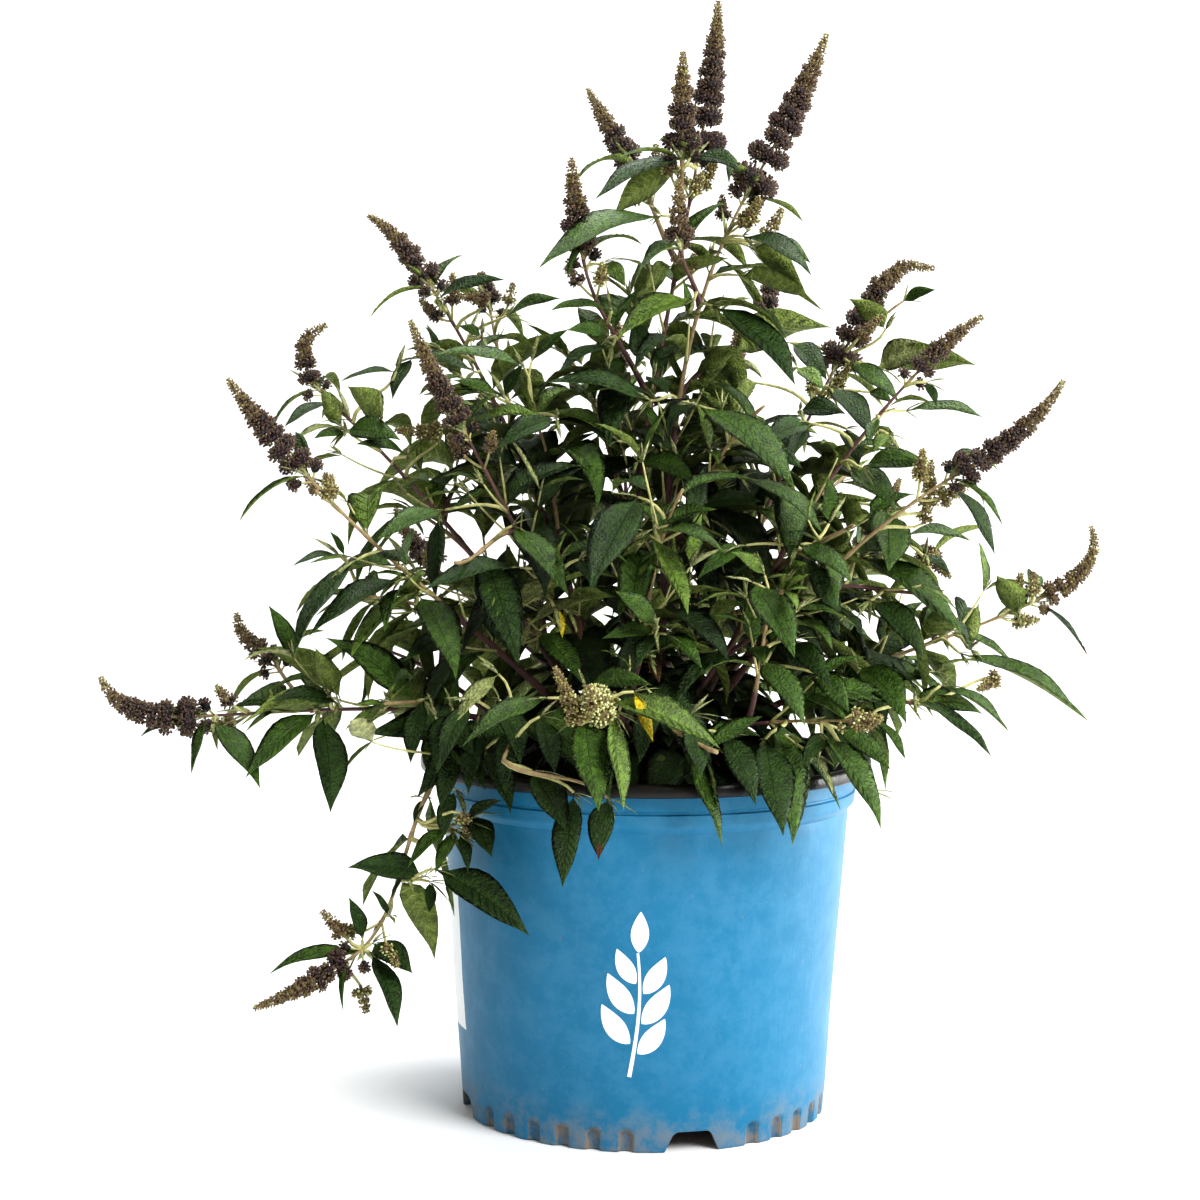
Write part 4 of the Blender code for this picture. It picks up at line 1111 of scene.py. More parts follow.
        ripe = RIPEST_SHARE if index % 3 == 0 else RIPE_SHARE - RIPE_FORK_LESS * bool(cane.fork)
        ripe_end = start + (path.length - start) * ripe
        self.add_stem(path, start, ripe_end, radius_at, 0, 0.003, cane.mass)
        self.add_stem(path, ripe_end, path.length, radius_at, 1, 0.003, cane.mass)
        return GrownCane(cane, path, start, whole, tiers, rng, index)

    def keep(self, leaf, owner, spare=0.0007, tries=1):
        """Keeps a leaf if it is clear of all but its own mass's canes, or after a few changes of its hang."""
        for _ in range(tries):
            corners = test_corners(leaf, spare)
            if corners[3].z > 0.004 and not self.hides(corners) and self.room.free_for(corners, owner):
                self.room.add(corners, LEAF_FACES)
                self.leaves.append(leaf)
                return True
            way = (leaf.way + leaf.way.cross(leaf.face) * self.extra.uniform(-0.4, 0.4)).normalized()
            droop = self.extra.uniform(0.2, 1.3) * leaf.length / LEAF_LENGTH
            leaf = leaf._replace(way=way, droop=droop, length=leaf.length * 0.94)
        return False

    def tone_of(self, grown, share, distance):
        """Tones go by spray: most leaves of a cane share one, fresher towards its end. Leaves further out get
        lighter tones as painted light, and leaves deep inside the shade tone as painted shade.
        """
        root = grown.path.at(distance)[0]
        # Lighter tones further out and darker ones inside: painted light and shade by a leaf's place.
        outer = min(1.0, (math.hypot(root.x, root.y) + max(0.0, root.z - OUTER_HEIGHT)) / OUTER_REACH)
        pick = self.extra.random() * 0.4 + (grown.index * 0.618 % 1.0) * 0.3 + (1 - share) * 0.12 + outer * 0.26
        if self.extra.random() < SCORCHED_SHARE:
            return SCORCHED
        # The shade tone deep inside the bush is painted shade.
        inside = 1 - max(math.hypot(root.x, root.y) / SHADE_RADIUS, (root.z - SHADE_HEIGHT) / SHADE_RISE)
        if self.extra.random() < inside * SHADE_SHARE:
            return SHADE
        return DEEP if pick < DEEP_LIMIT else MIDDLE if pick < MIDDLE_LIMIT else FRESH

    def grow_leaves(self):
        """Pairs of full leaves from the tips down, one tier of every cane at a time, then the side shoots."""
        guides = []
        for tier in range(max(grown.tiers for grown in self.canes)):
            for grown in self.canes:
                if tier < grown.tiers:
                    guides += self.grow_tier(grown, tier)
        for grown, tier, guide in guides:
            lush = LUSH[grown.cane.mass]
            if self.extra.random() < lush + 0.10 * tier:
                self.grow_side_shoot(guide, grown, min(1.0, 0.26 + 0.3 * lush + 0.1 * tier))

    def grow_tier(self, grown, tier):
        """A pair of full leaves, and the side shoots that will come from above them."""
        path, rng, mass = grown.path, grown.rng, grown.cane.mass
        distance = path.length - FIRST_LEAF - tier * LEAF_STEP
        share = tier / grown.tiers
        turn = rng.uniform(-0.3, 0.3) + (tier % 2) * math.pi / 2
        slim = TIER_WIDTHS[tier] if tier < len(TIER_WIDTHS) else 1.0
        if tier == 0 and grown.cane.spike:
            slim = SPIKE_PAIR_WIDTH
        for half in (0, math.pi):
            length = leaf_length(share, rng) * self.size
            ratio = self.width * slim * self.extra.uniform(0.86, 1.14)
            tone = self.tone_of(grown, share, distance)
            leaf = leaf_at(path, distance, turn + half, length, LEAF_SPREAD, rng, tone, BROAD_LEAF, ratio)
            leaf = leaf._replace(droop=leaf.droop * self.extra.uniform(*MORE_DROOP))
            if tier != 1 or not grown.cane.spike:
                self.keep(leaf, mass, tries=4)
        guides = []
        for half in (AXIL_TURN, AXIL_TURN + math.pi):
            source = rng if tier % 2 else self.extra
            length = LEAF_LENGTH * source.uniform(*AXIL_SIZE)
            guide = leaf_at(path, distance - AXIL_DROP, turn + half, length, AXIL_SPREAD, source)
            if tier > bool(grown.cane.spike):
                guides.append((grown, tier, guide))
        if not guides:
            self.grow_tuft(path, distance - 0.002, turn, mass)
        return guides

    def grow_side_shoot(self, guide, grown, vigour):
        """A short shoot from an axil, with pairs of small leaves and an opening tip. Lower ones are longer."""
        rng = self.extra
        vigour *= rng.uniform(0.8, 1.15)
        length = guide.length * vigour
        end = guide.root + guide.way * length + UP * length * 0.12
        path = Path(cubic(guide.root, guide.way, end, (guide.way + UP * 0.3).normalized(), 8))
        pairs = max(1, round(length / SHOOT_STEP))
        spray = self.tone_of(grown, 0.4, (guide.root - grown.path.points[0]).length)
        turn = rng.uniform(0, math.pi)
        reached = 0.0
        for i in range(pairs):
            share = (i + 1) / pairs
            turn += math.pi / 2
            for half in (0, math.pi):
                tone = rng.choice((MIDDLE, FRESH, FRESH, YOUNG)) if share > 0.8 else spray
                small = guide.length * (1.14 - 0.5 * share) * min(1.0, 0.6 + vigour * 0.4) * rng.uniform(0.82, 1.15)
                form = MIDDLE_LEAF if small > VEINED_FROM else SMALL_LEAF
                spread = SHOOT_TIP_SPREAD if share == 1 else SHOOT_SPREAD
                place = path.length * (0.25 + 0.74 * share)
                ratio = self.width * (0.94 if form == MIDDLE_LEAF else 0.72)
                leaf = leaf_at(path, place, turn + half, small, spread, rng, tone, form, ratio)
                leaf = leaf._replace(droop=leaf.droop * 1.5)
                if self.keep(leaf, grown.cane.mass, 0.0003, tries=3):
                    reached = place
        if reached:
            self.add_stem(path, 0, reached, lambda d: SHOOT_FOOT - SHOOT_THINS * d / path.length, 2)
            self.grow_tuft(path, reached, turn + math.pi / 2, grown.cane.mass, 0.011)

    def grow_tuft(self, path, distance, turn, owner, size=0.017):
        """Small pale leaves that are only opening, held close to their stem."""
        rng = self.extra
        for half in (0.35, math.pi + 0.35):
            for spread in ((10, 20), (24, 38)):
                length = size * rng.uniform(0.7, 1.6)
                leaf = leaf_at(path, distance, turn + half, length, spread, rng, YOUNG, SLIM_LEAF, 0.17)
                self.keep(leaf, owner, 0.0001)

    def grow_tips(self):
        """A tip of opening leaves on each cane that bears no flowers."""
        for grown in self.canes:
            if grown.cane.spike:
                continue
            path = grown.path
            for turn, length, spread in ((0.4, 0.036, (16, 28)), (0.4 + math.pi / 2, 0.024, (8, 18))):
                for half in (0, math.pi):
                    place = path.length - 0.001
                    leaf = leaf_at(path, place, turn + half, length, spread, self.extra, FRESH, SMALL_LEAF, 0.22)
                    self.keep(leaf, grown.cane.mass, 0.0001, tries=2)

    def grow_inner_leaves(self):
        """Leaves on the boughs, below where the solids' masses begin, most of them coloured dark as painted shade and
        a few of them dead.
        """
        rng = self.extra
        for mass, path in self.firsts.items():
            distance = INNER_START
            turn = rng.uniform(0, math.pi)
            while distance < self.starts[mass] + 0.01:
                for half in (0, math.pi, 0.8, math.pi + 0.8):
                    # Most take the shade tone, which is painted shade.
                    tone = rng.choices((SHADE, DEEP, DRY), (72, 26, 2))[0]
                    length = rng.uniform(*INNER_LENGTH)
                    leaf = leaf_at(path, distance, turn + half, length, INNER_SPREAD, rng, tone, MIDDLE_LEAF, 0.38)
                    self.keep(leaf, mass, 0.0003, tries=4)
                turn += math.pi / 2
                distance += INNER_STEP

    # Flower heads

    def cluster(self, centre, out, along, size, share, rng):
        """A cushion of buds that faces out, flatter along its spike than across it, over a middle coloured dark as
        painted shade for the gaps.
        """
        count = max(FEWEST_BUDS, round(BUDS_PER_MM * (size * 1000) ** BUDS_POWER))
        side = along.cross(out).normalized()
        along = out.cross(side).normalized()
        grown = 0.62 + 0.38 * min(1.0, size / 0.004)
        length = self.bud * grown
        for i in range(count):
            polar = math.acos(1 - 1.25 * (i + 0.5) / count)
            spin = i * GOLDEN_TURN + rng.uniform(-0.25, 0.25)
            across, lift = math.cos(spin) * math.sin(polar), math.sin(spin) * math.sin(polar)
            way = (out * math.cos(polar) + side * across + along * (lift * 0.8 + 0.2)).normalized()
            offset = out * math.cos(polar) * 0.9 + side * across * 1.15 + along * lift * 0.72
            place = centre + offset * (size - length * 0.35) * rng.uniform(0.84, 1.0)
            pick = share + rng.uniform(-0.28, 0.28)
            tone = sum(pick > limit for limit in BUD_LIMITS)
            long, wide = length * rng.uniform(*BUD_LENGTHS), length * rng.uniform(*BUD_WIDTHS)
            self.buds.append(Bud(place, way, long, wide, tone, 0))
        if size > 0.002:
            # The dark core under the buds is painted shade, paler for a young head.
            self.buds.append(Bud(centre, along, size * 1.25, size * 1.75, 0 if share < 0.6 else 3, 1))

    def spike(self, line, length, girth, youth, rng):
        """A flower spike: an axis with whorls of clusters that shrink and crowd towards its tip."""
        fullness = girth * min(1.0, 0.42 + 0.58 * length / SPIKE_FULL_LENGTH)
        self.add_stem(line, 0, length * 0.98, lambda d: AXIS_FOOT - AXIS_THINS * d / length, 1)
        distance = SPIKE_START
        turn = rng.uniform(0, math.pi)
        while distance < length:
            share = distance / length
            reach = self.reach * fullness * (1 - share) ** 0.9 * rng.uniform(0.88, 1.06) + 0.0013
            point, way = line.at(distance)
            side = way.orthogonal().normalized()
            for quarter, scale in ((0, 1.0), (2, 1.0), (1, 0.76), (3, 0.76)):
                if quarter % 2 and reach < PAIRED_BELOW:
                    continue
                out = Matrix.Rotation(turn + quarter * math.pi / 2 + rng.uniform(-0.2, 0.2), 3, way) @ side
                out = (out + way * 0.3).normalized()
                size = reach * 0.56 * scale * rng.uniform(0.88, 1.1)
                centre = point + out * (reach * scale - size * 0.95)
                self.cluster(centre, out, way, size, share * (1 - youth) + youth, rng)
                if reach > STALKED_ABOVE:
                    self.stems.append(Stem([point, centre], [0.0006, 0.0005], 2))
            turn += math.pi / 2 + rng.uniform(-0.15, 0.15)
            distance += max(0.0017, reach * (0.82 - 0.26 * share + 0.12 * (share < 0.22)))

    def grow_flowers(self):
        """A spike on each cane that bears one, and below it stalked clusters and small side spikes."""
        for grown in self.canes:
            cane, path = grown.cane, grown.path
            if not cane.spike:
                continue
            rng = random.Random(500 + grown.index)
            girth, youth = SPIKE_LOOKS.get((cane.mass, cane.fork), OTHER_SPIKES)
            line = spike_line(path, cane.spike, cane.curl)
            if (cane.mass, cane.fork) in SPIKE_PATHS:
                line = Path([path.points[-1], *(Vector(point) / 1000 for point in SPIKE_PATHS[cane.mass, cane.fork])])
            self.spike(line, line.length, girth, youth, rng)
            if cane.spike > LONG_SPIKE:
                for half in (0.6, math.pi + 0.6):
                    length = rng.uniform(0.022, 0.038)
                    leaf = leaf_at(path, path.length, half, length, (48, 76), self.extra, MIDDLE, SLIM_LEAF, 0.17)
                    self.keep(leaf._replace(droop=1.6), cane.mass, 0.0, tries=2)
            size = 0.0054 * girth**0.5 * min(1.0, 0.45 + cane.spike / 0.12)
            turn = rng.uniform(-0.3, 0.3)
            for half in (0, math.pi):
                self.side_cluster(path, path.length - 0.011, turn + half, size, youth, rng)
            if cane.spike > LONG_SPIKE:
                for half in (math.pi / 2, -math.pi / 2):
                    self.side_spike(path, path.length - 0.031, turn + half, rng)

    def side_cluster(self, path, distance, turn, size, youth, rng):
        point, way, out = beside(path, distance, turn)
        stalk = (out + way * 0.7).normalized()
        centre = point + stalk * rng.uniform(0.007, 0.011)
        self.stems.append(Stem([point, centre], [0.0007, 0.0006], 2))
        self.cluster(centre, stalk, way, size, 0.1 + youth, rng)

    def side_spike(self, path, distance, turn, rng):
        point, way, out = beside(path, distance, turn)
        leaving = (out + way * 0.9).normalized()
        reach = rng.uniform(0.010, 0.018)
        end = point + leaving * reach
        shoot = Path(cubic(point, leaving, end, (leaving + UP * 0.5).normalized(), 6))
        self.add_stem(shoot, 0, shoot.length, lambda d: 0.0008, 2)
        length = rng.uniform(0.014, 0.026)
        youth = rng.choice((0.5, 1.05, 1.2))
        self.spike(spike_line(shoot, length, rng.uniform(-10, 30)), length, SIDE_GIRTH, youth, rng)


@functools.cache
def grown_bush(size, width, bud, reach):
    return Bush(size, width, bud, reach)


def the_bush(scene):
    leaf, flower = scene.bush_leaf, scene.bush_flower
    return grown_bush(leaf.size, leaf.width, flower.bud, flower.reach)


# ---------------------------------------------------------------- leaves


def leaf_outline(share):
    """Half the width of a leaf at a share of its blade, as a share of the full width."""
    return float(np.interp(share, *zip(*LEAF_HALVES)))


def leaf_rows(veins):
    """The rows of points across a leaf, each a share of the blade and its side of a vein's groove."""
    if not veins:
        return [(share, 0) for share in (0.0, 0.12, 0.32, 0.56, 0.80, 1.0)]
    rows = [(0.0, 0)]
    for i in range(veins):
        middle = 0.06 + 0.80 * (i + 0.3) / veins
        rows += [(middle, -1), (middle, 1)]
    return rows + [(0.92, 0), (1.0, 0)]


def leaf_mesh(name, veins, petiole, columns=(-1, 0, 1), below=(0,)):
    """A flat leaf of unit length and width along +Y. Between its veins, which slant forward, it stands proud."""
    ring = [(column, False) for column in columns] + [(column, True) for column in below]
    verts, marks = [(0.012 * column, 0.0, -0.004 * under) for column, under in ring], [0.0] * len(ring)
    groove_width = VEIN_WIDTH * 5 / max(5, veins)
    rows = leaf_rows(veins)
    for share, side in rows:
        rise = math.sin(math.pi * share)
        for column, under in ring:
            across = abs(column)
            on_rib = across <= RIB_HALF
            slant = VEIN_SLANT * across * rise**0.8 if veins else 0.0
            y = min(share + slant + side * groove_width * (1 - 0.6 * across), 1.0)
            half = max(leaf_outline(y), 0.012 if share < 0.5 else 0.004)
            tooth = 1.025 if side > 0 and across == 1 else 1.0
            z = -RIB_DEPTH if on_rib else 0.0
            if not on_rib and across < 1:
                swell = 4 * LEAF_SWELL * across * (1 - across)
                z = (swell + VEIN_DEPTH * side * min(1.0, 1.8 * (1 - across))) * rise**0.5
            if under:
                z = -0.002 - (KEEL_DEPTH - 0.002) * (1 - across) * min(1.0, 8 * (1 - y))
            verts.append((column * half * tooth, petiole + (1 - petiole) * y, z))
            marks.append(share)
    width, count, bands = len(columns), len(ring), len(rows)
    faces = grid_faces(bands + 1, count, wrap=True) + [tuple(range(count))[::-1]]
    faces.append(tuple(range(bands * count, (bands + 1) * count)))
    parts, tips = [], []
    for i in range(bands):
        groove = i > 0 and rows[i - 1][1] < 0
        for j in range(count):
            rib = veins and (columns[j : j + 2] == (-RIB_HALF, RIB_HALF) or (groove and 0 < j < width - 2))
            below_rib = veins and groove and j >= width - 1
            parts.append(UNDER_RIB if below_rib else UNDER if j >= width - 1 else RIB if rib else UPPER)
        tips += [int(verts[i * count + 1][1] > 0.80)] * count
    parts += [UNDER, UNDER]
    tips += [0, 1]
    mesh = bpy.data.meshes.new(name)
    mesh.from_pydata(verts, [], faces)
    mesh.attributes.new("row", "FLOAT", "POINT").data.foreach_set("value", marks)
    for label, values in (("part", parts), ("tip", tips)):
        mesh.attributes.new(label, "INT", "FACE").data.foreach_set("value", values)
    shape = bmesh.new()
    shape.from_mesh(mesh)
    bmesh.ops.recalc_face_normals(shape, faces=shape.faces)
    shape.to_mesh(mesh)
    shape.free()
    return mesh


def forms_collection(name, meshes):
    """A collection of shapes that a tree picks from by their order."""
    group = bpy.data.collections.new(name)
    for i, mesh in enumerate(meshes):
        group.objects.link(bpy.data.objects.new(f"{name}_{i}", mesh))
    return group


def drop_forms(group):
    for obj in list(group.objects):
        mesh = obj.data
        bpy.data.objects.remove(obj)
        bpy.data.meshes.remove(mesh)
    bpy.data.collections.remove(group)


def leaf_tree(materials, inputs):
    """Leaves on points. Each flat form is bent down, twisted, folded and waved, then turned to its place."""
    nodes, given = geometry_tree("leaves_on_points", inputs)
    placed = nodes.placed(given["Forms"], given["Geometry"], nodes.attribute("form", "INT"))
    loose = nodes.realized(placed)
    root = nodes.attribute("root", "FLOAT_VECTOR")
    position = nodes.node("GeometryNodeInputPosition")
    across, along, lift = nodes.split(nodes.combine("SUBTRACT", position, root))
    length, width, bend, twist, wave, sway, row = (
        nodes.attribute(name) for name in ("long", "broad", "bend", "twist", "wave", "sway", "row")
    )
    across = across * width
    edge = across.size()
    ripple = (row * 10.0 + wave).sin() * edge * given["Ripple"] * 2.0
    rise = lift * length + edge * given["Fold"] + ripple
    turn = twist * (row - 0.2)
    shifted = across * turn.cos() - rise * turn.sin()
    raised = across * turn.sin() + rise * turn.cos()
    angle = bend * along
    forward = length * angle.sin() / bend + raised * angle.sin()
    down = length * (angle.cos() - 1.0) / bend + raised * angle.cos()
    aside = shifted + length * sway * (along * along - along * 0.42)
    local = nodes.vector(aside, forward, down)
    values = {"Vector": local, "Rotation": nodes.attribute("turn", "QUATERNION")}
    turned = nodes.node("FunctionNodeRotateVector", None, values)
    values = {"Geometry": loose, "Position": nodes.combine("ADD", turned, root)}
    shape = nodes.node("GeometryNodeSetPosition", None, values)
    tone, part, tip = (nodes.attribute(name, "INT") for name in ("tone", "part", "tip"))
    grown = (2.5 - tone).above(0.0)
    chain = [(name, tone.near(i)) for i, name in enumerate(TONES[:6])]
    # The shade tone and the inner underside are painted shade for leaves deep inside the bush.
    chain += [("deep", tone.near(SCORCHED)), ("shade", tone.near(SHADE))]
    # Vein faces sit in sunken grooves; their darker colour is partly the vein's own and partly painted shade.
    chain += [("vein_" + name, part.near(RIB) * tone.near(i)) for i, name in enumerate(VEINED)]
    chain += [("under", part.near(UNDER) * grown), ("young", part.near(UNDER_RIB) * grown)]
    chain += [("downy", part.near(UNDER) * tone.near(YOUNG)), ("inner", part.near(UNDER) * tone.near(SHADE))]
    chain = [(materials[name], where) for name, where in (*chain, ("dry", tip * tone.near(SCORCHED)))]
    return end_tree(nodes, shape, chain)


LEAF_KINDS = {"root": "FLOAT_VECTOR", "turn": "QUATERNION", "tone": "INT", "form": "INT"} | dict.fromkeys(
    ("long", "broad", "bend", "sway", "twist", "wave"), "FLOAT"
)


def leaf_points(leaves):
    """The points that the tree of leaves reads: where each leaf is, how it is turned and how it bends."""
    rng = random.Random(len(leaves))
    rows = []
    for leaf in leaves:
        first, last = bent(leaf.way, 0.2 * leaf.droop), bent(leaf.way, leaf.droop)
        across = first.cross(leaf.face).normalized()
        normal = across.cross(first).normalized()
        fall = math.atan2(-last.dot(normal), last.dot(first))
        sway = math.asin(max(-0.9, min(0.9, last.dot(across))))
        back = 0.42 * fall
        along = first * math.cos(back) + normal * math.sin(back)
        above = normal * math.cos(back) - first * math.sin(back)
        turn = Matrix((across, along, above)).transposed().to_quaternion()
        bend = 2 * fall if abs(fall) > 0.03 else 0.06
        twist = rng.uniform(-0.5, 0.5) * (0.4 if leaf.form == SLIM_LEAF else 1.0)
        sway += rng.uniform(-0.12, 0.12)
        hang = (leaf.length, leaf.width, bend, sway, twist, rng.uniform(0, 6.28))
        rows.append((tuple(leaf.root), tuple(leaf.root), tuple(turn), leaf.tone, leaf.form, *hang))
    return points_mesh("leaf_points", LEAF_KINDS, rows)


def deal_out(prefix, things, points_of, nodes, inputs):
    """Makes four pieces with a tree, of the things at the left, in the middle, at the right and at the back."""
    groups = {"left": [], "middle": [], "right": [], "back": []}
    for thing in things:
        x, y, _ = thing[0]
        aside = "left" if x < -SIDES_FROM else "right" if x > SIDES_FROM else "middle"
        groups["back" if y > BACK_FROM else aside].append(thing)
    for name, group in groups.items():
        finished(run_tree(prefix + name, nodes, points_of(group), inputs), "foliage", *FOLIAGE)
    drop_forms(inputs["Forms"])


# ---------------------------------------------------------------- stems and buds


def tube_tree(materials, sides, inputs):
    """Tubes along lines, as thick at each point as its attribute says."""
    nodes, given = geometry_tree("tubes_on_lines", inputs)
    lines = nodes.node("GeometryNodeMeshToCurve", None, {"Mesh": given["Geometry"]})
    ring = nodes.node("GeometryNodeCurvePrimitiveCircle", None, {"Resolution": sides, "Radius": 1.0})
    thick = nodes.attribute("thick") * given["Thickness"]
    values = {"Curve": lines, "Profile Curve": ring, "Scale": thick, "Fill Caps": True}
    shape = nodes.realized(nodes.node("GeometryNodeCurveToMesh", None, values))
    tone = nodes.attribute("tone", "INT")
    return end_tree(nodes, shape, [(material, tone.near(float(i))) for i, material in enumerate(materials)])


def lines_mesh(name, stems):
    """The lines that the tree of tubes reads."""
    rows, edges = [], []
    for stem in stems:
        for i, (point, radius) in enumerate(zip(stem.points, stem.radii)):
            if i:
                edges.append((len(rows) - 1, len(rows)))
            rows.append((tuple(point), radius, stem.tone))
    mesh = points_mesh(name, {"thick": "FLOAT", "tone": "INT"}, rows)
    mesh.edges.add(len(edges))
    mesh.edges.foreach_set("vertices", np.array(edges, dtype=np.int32).ravel())
    return mesh


def bud_mesh(name):
    """A club-shaped bud of unit length along +Z, with its cup below."""
    rings = ((0.2, 0.0), (0.5, 0.55))
    sides = 5
    verts = []
    for i, (radius, height) in enumerate(rings):
        for j in range(sides):
            angle = 2 * math.pi * (j + 0.5 * (i % 2)) / sides
            verts.append((radius * math.cos(angle), radius * math.sin(angle), height))
    top = len(verts)
    faces = grid_faces(len(rings), sides, wrap=True)
    faces += [(sides + j, sides + (j + 1) % sides, top) for j in range(sides)]
    faces.append(tuple(range(sides))[::-1])
    mesh = bpy.data.meshes.new(name)
    mesh.from_pydata(verts + [(0, 0, 1)], [], faces)
    parts = [CUP] * sides + [TIP] * sides + [CUP]
    mesh.attributes.new("part", "INT", "FACE").data.foreach_set("value", parts)
    return mesh


def core_mesh(name):
    """The middle of a cluster, hidden by its buds but for the gaps, where its dark colour is painted shade."""
    shape = bmesh.new()
    bmesh.ops.create_icosphere(shape, subdivisions=1, radius=0.5)
    mesh = mesh_from(shape, name, outward=False)
    mesh.attributes.new("part", "INT", "FACE").data.foreach_set("value", [SHADE_CORE] * len(mesh.polygons))
    return mesh


def bud_tree(materials, inputs):
    """Buds on points, each turned, sized and coloured by its point."""
    nodes, given = geometry_tree("buds_on_points", inputs)
    turned = {"Rotation": nodes.attribute("turn", "QUATERNION"), "Scale": nodes.attribute("size", "FLOAT_VECTOR")}
    placed = nodes.placed(given["Forms"], given["Geometry"], nodes.attribute("form", "INT"), **turned)
    shape = nodes.realized(placed)
    tone, part = nodes.attribute("tone", "INT"), nodes.attribute("part", "INT")
    chain = [(name, tone.near(i)) for i, name in enumerate(BUD_TONES)]
    # The core is painted shade for the gaps between buds.
    chain += [("calyx", part.near(CUP) * (1.5 - tone).above(0.0)), ("core", part.near(SHADE_CORE))]
    chain.append(("pale_core", part.near(SHADE_CORE) * tone.near(BUD_TONES.index("green"))))
    return end_tree(nodes, shape, [(materials[name], where) for name, where in chain])


def bud_points(buds):
    """The points that the tree of buds reads."""
    kinds = {"turn": "QUATERNION", "size": "FLOAT_VECTOR", "tone": "INT", "form": "INT"}
    rows = []
    for bud in buds:
        turn = tuple(UP.rotation_difference(bud.way))
        rows.append((tuple(bud.place), turn, (bud.width, bud.width, bud.length), bud.tone, bud.form))
    return points_mesh("bud_points", kinds, rows)


# ---------------------------------------------------------------- the pot


def outer_radius(height):
    """The radius of the tapered wall at a height below its shoulder."""
    return BASE_RADIUS + (SHOULDER_RADIUS - BASE_RADIUS) * height / SHOULDER_HEIGHT


def pot_profile():
    """The pot's section from the middle of its foot out, up the wall, over the lip and down the inside."""
    collar_bottom = SHOULDER_HEIGHT + COLLAR_STEP
    collar_top = POT_HEIGHT - LIP_HEIGHT
    neck = COLLAR_RADIUS + COLLAR_TAPER
    edge = FOOT_RADIUS + CHANNEL_SLOPE
    ring = BASE_RADIUS - FOOT_RING
    line = [(0.0, 0.0), (0.03, 0.0), (FOOT_RADIUS - 0.001, 0.0), (FOOT_RADIUS, 0.0006)]
    line += [(edge - 0.0004, CHANNEL_HEIGHT - 0.001), (edge + 0.001, CHANNEL_HEIGHT)]
    line += [(ring - 0.001, CHANNEL_HEIGHT), (ring, CHANNEL_HEIGHT - 0.001), (ring, 0.0010), (ring + 0.001, 0.0)]
    line += [(BASE_RADIUS - 0.0012, 0.0), (BASE_RADIUS - 0.0003, 0.0004)]
    line += [(outer_radius(0.001 * i), 0.001 * i) for i in range(1, 19)]
    line += [(outer_radius(height), height) for height in np.linspace(0.022, SHOULDER_HEIGHT - 0.006, 22)]
    line += [(SHOULDER_RADIUS - 0.0004, SHOULDER_HEIGHT - 0.003), (SHOULDER_RADIUS - 0.0003, SHOULDER_HEIGHT)]
    line += [(SHOULDER_RADIUS + 0.0010, SHOULDER_HEIGHT + 0.0012), (COLLAR_RADIUS - 0.0014, collar_bottom - 0.001)]
    line += [(COLLAR_RADIUS - 0.0002, collar_bottom + 0.0006), (COLLAR_RADIUS, collar_bottom + 0.002)]
    groove = collar_bottom + 0.0085
    line += [(COLLAR_RADIUS + 0.0004, groove - 0.0014), (COLLAR_RADIUS - 0.0006, groove - 0.0006)]
    line += [(COLLAR_RADIUS - 0.0006, groove + 0.0006), (COLLAR_RADIUS + 0.0009, groove + 0.0014)]
    line += [(neck - 0.0001, collar_top - 0.002), (neck, collar_top)]
    lip = RIM_RADIUS
    line += [(lip - 0.0012, collar_top + 0.0001), (lip - 0.0003, collar_top + 0.0007)]
    line += [(lip, collar_top + 0.0022), (lip - 0.0001, POT_HEIGHT - 0.0024), (lip - 0.0008, POT_HEIGHT - 0.0009)]
    line += [(lip - 0.0022, POT_HEIGHT - 0.0001), (lip - 0.0045, POT_HEIGHT), (lip - 0.0062, POT_HEIGHT - 0.0004)]
    line += [(lip - 0.0074, POT_HEIGHT - 0.0016), (lip - 0.0082, POT_HEIGHT - 0.004)]
    line += [(neck - WALL, collar_top - 0.001), (COLLAR_RADIUS - WALL, collar_bottom + 0.001)]
    line += [(COLLAR_RADIUS - WALL - 0.001, collar_bottom - 0.001), (SHOULDER_RADIUS - WALL, SHOULDER_HEIGHT - 0.001)]
    line += [(outer_radius(height) - WALL, height) for height in (0.15, 0.10, 0.05, 0.022)]
    floor = CHANNEL_HEIGHT + WALL
    line += [(outer_radius(floor) - WALL - 0.001, floor), (edge - WALL, floor), (FOOT_RADIUS - WALL, WALL)]
    line += [(0.03, WALL), (0.0, WALL)]
    return line, collar_top


def dented(angle, radius, height, dent):
    """The radius with the wall's slight dents, which fade towards the foot and the rim."""
    rise = min(1.0, max(0.0, (height - 0.025) / 0.05)) * (1.0 if height < SHOULDER_HEIGHT else 0.35)
    spot = Vector((math.cos(angle) * 1.4, math.sin(angle) * 1.4, height * 9))
    return radius + dent * rise * (noise.noise(spot) + 0.35 * noise.noise(spot * 3.1))


def flute_depth(angle, height):
    """How deep the flutes cut at a turn round the foot and a height."""
    step = 2 * math.pi / NOTCHES
    turn = (angle - (NOTCH_TURN - math.pi / 2) - step / 2 + math.pi / NOTCHES) % step - step / 2
    first = -FLUTE_PITCH * (FLUTES_BETWEEN - 1) / 2
    nearest = round((turn - first) / FLUTE_PITCH)
    if not 0 <= nearest < FLUTES_BETWEEN:
        return 0.0
    aside = (turn - first - nearest * FLUTE_PITCH) * BASE_RADIUS
    shoulder = FLUTE_HEIGHT - math.sqrt(FLUTE_ROUND**2 - (FLUTE_ROUND - FLUTE_DEPTH) ** 2)
    above = max(0.0, height - shoulder)
    inside = FLUTE_ROUND**2 - aside**2 - above**2
    if inside <= 0:
        return 0.0
    return max(0.0, math.sqrt(inside) - (FLUTE_ROUND - FLUTE_DEPTH))


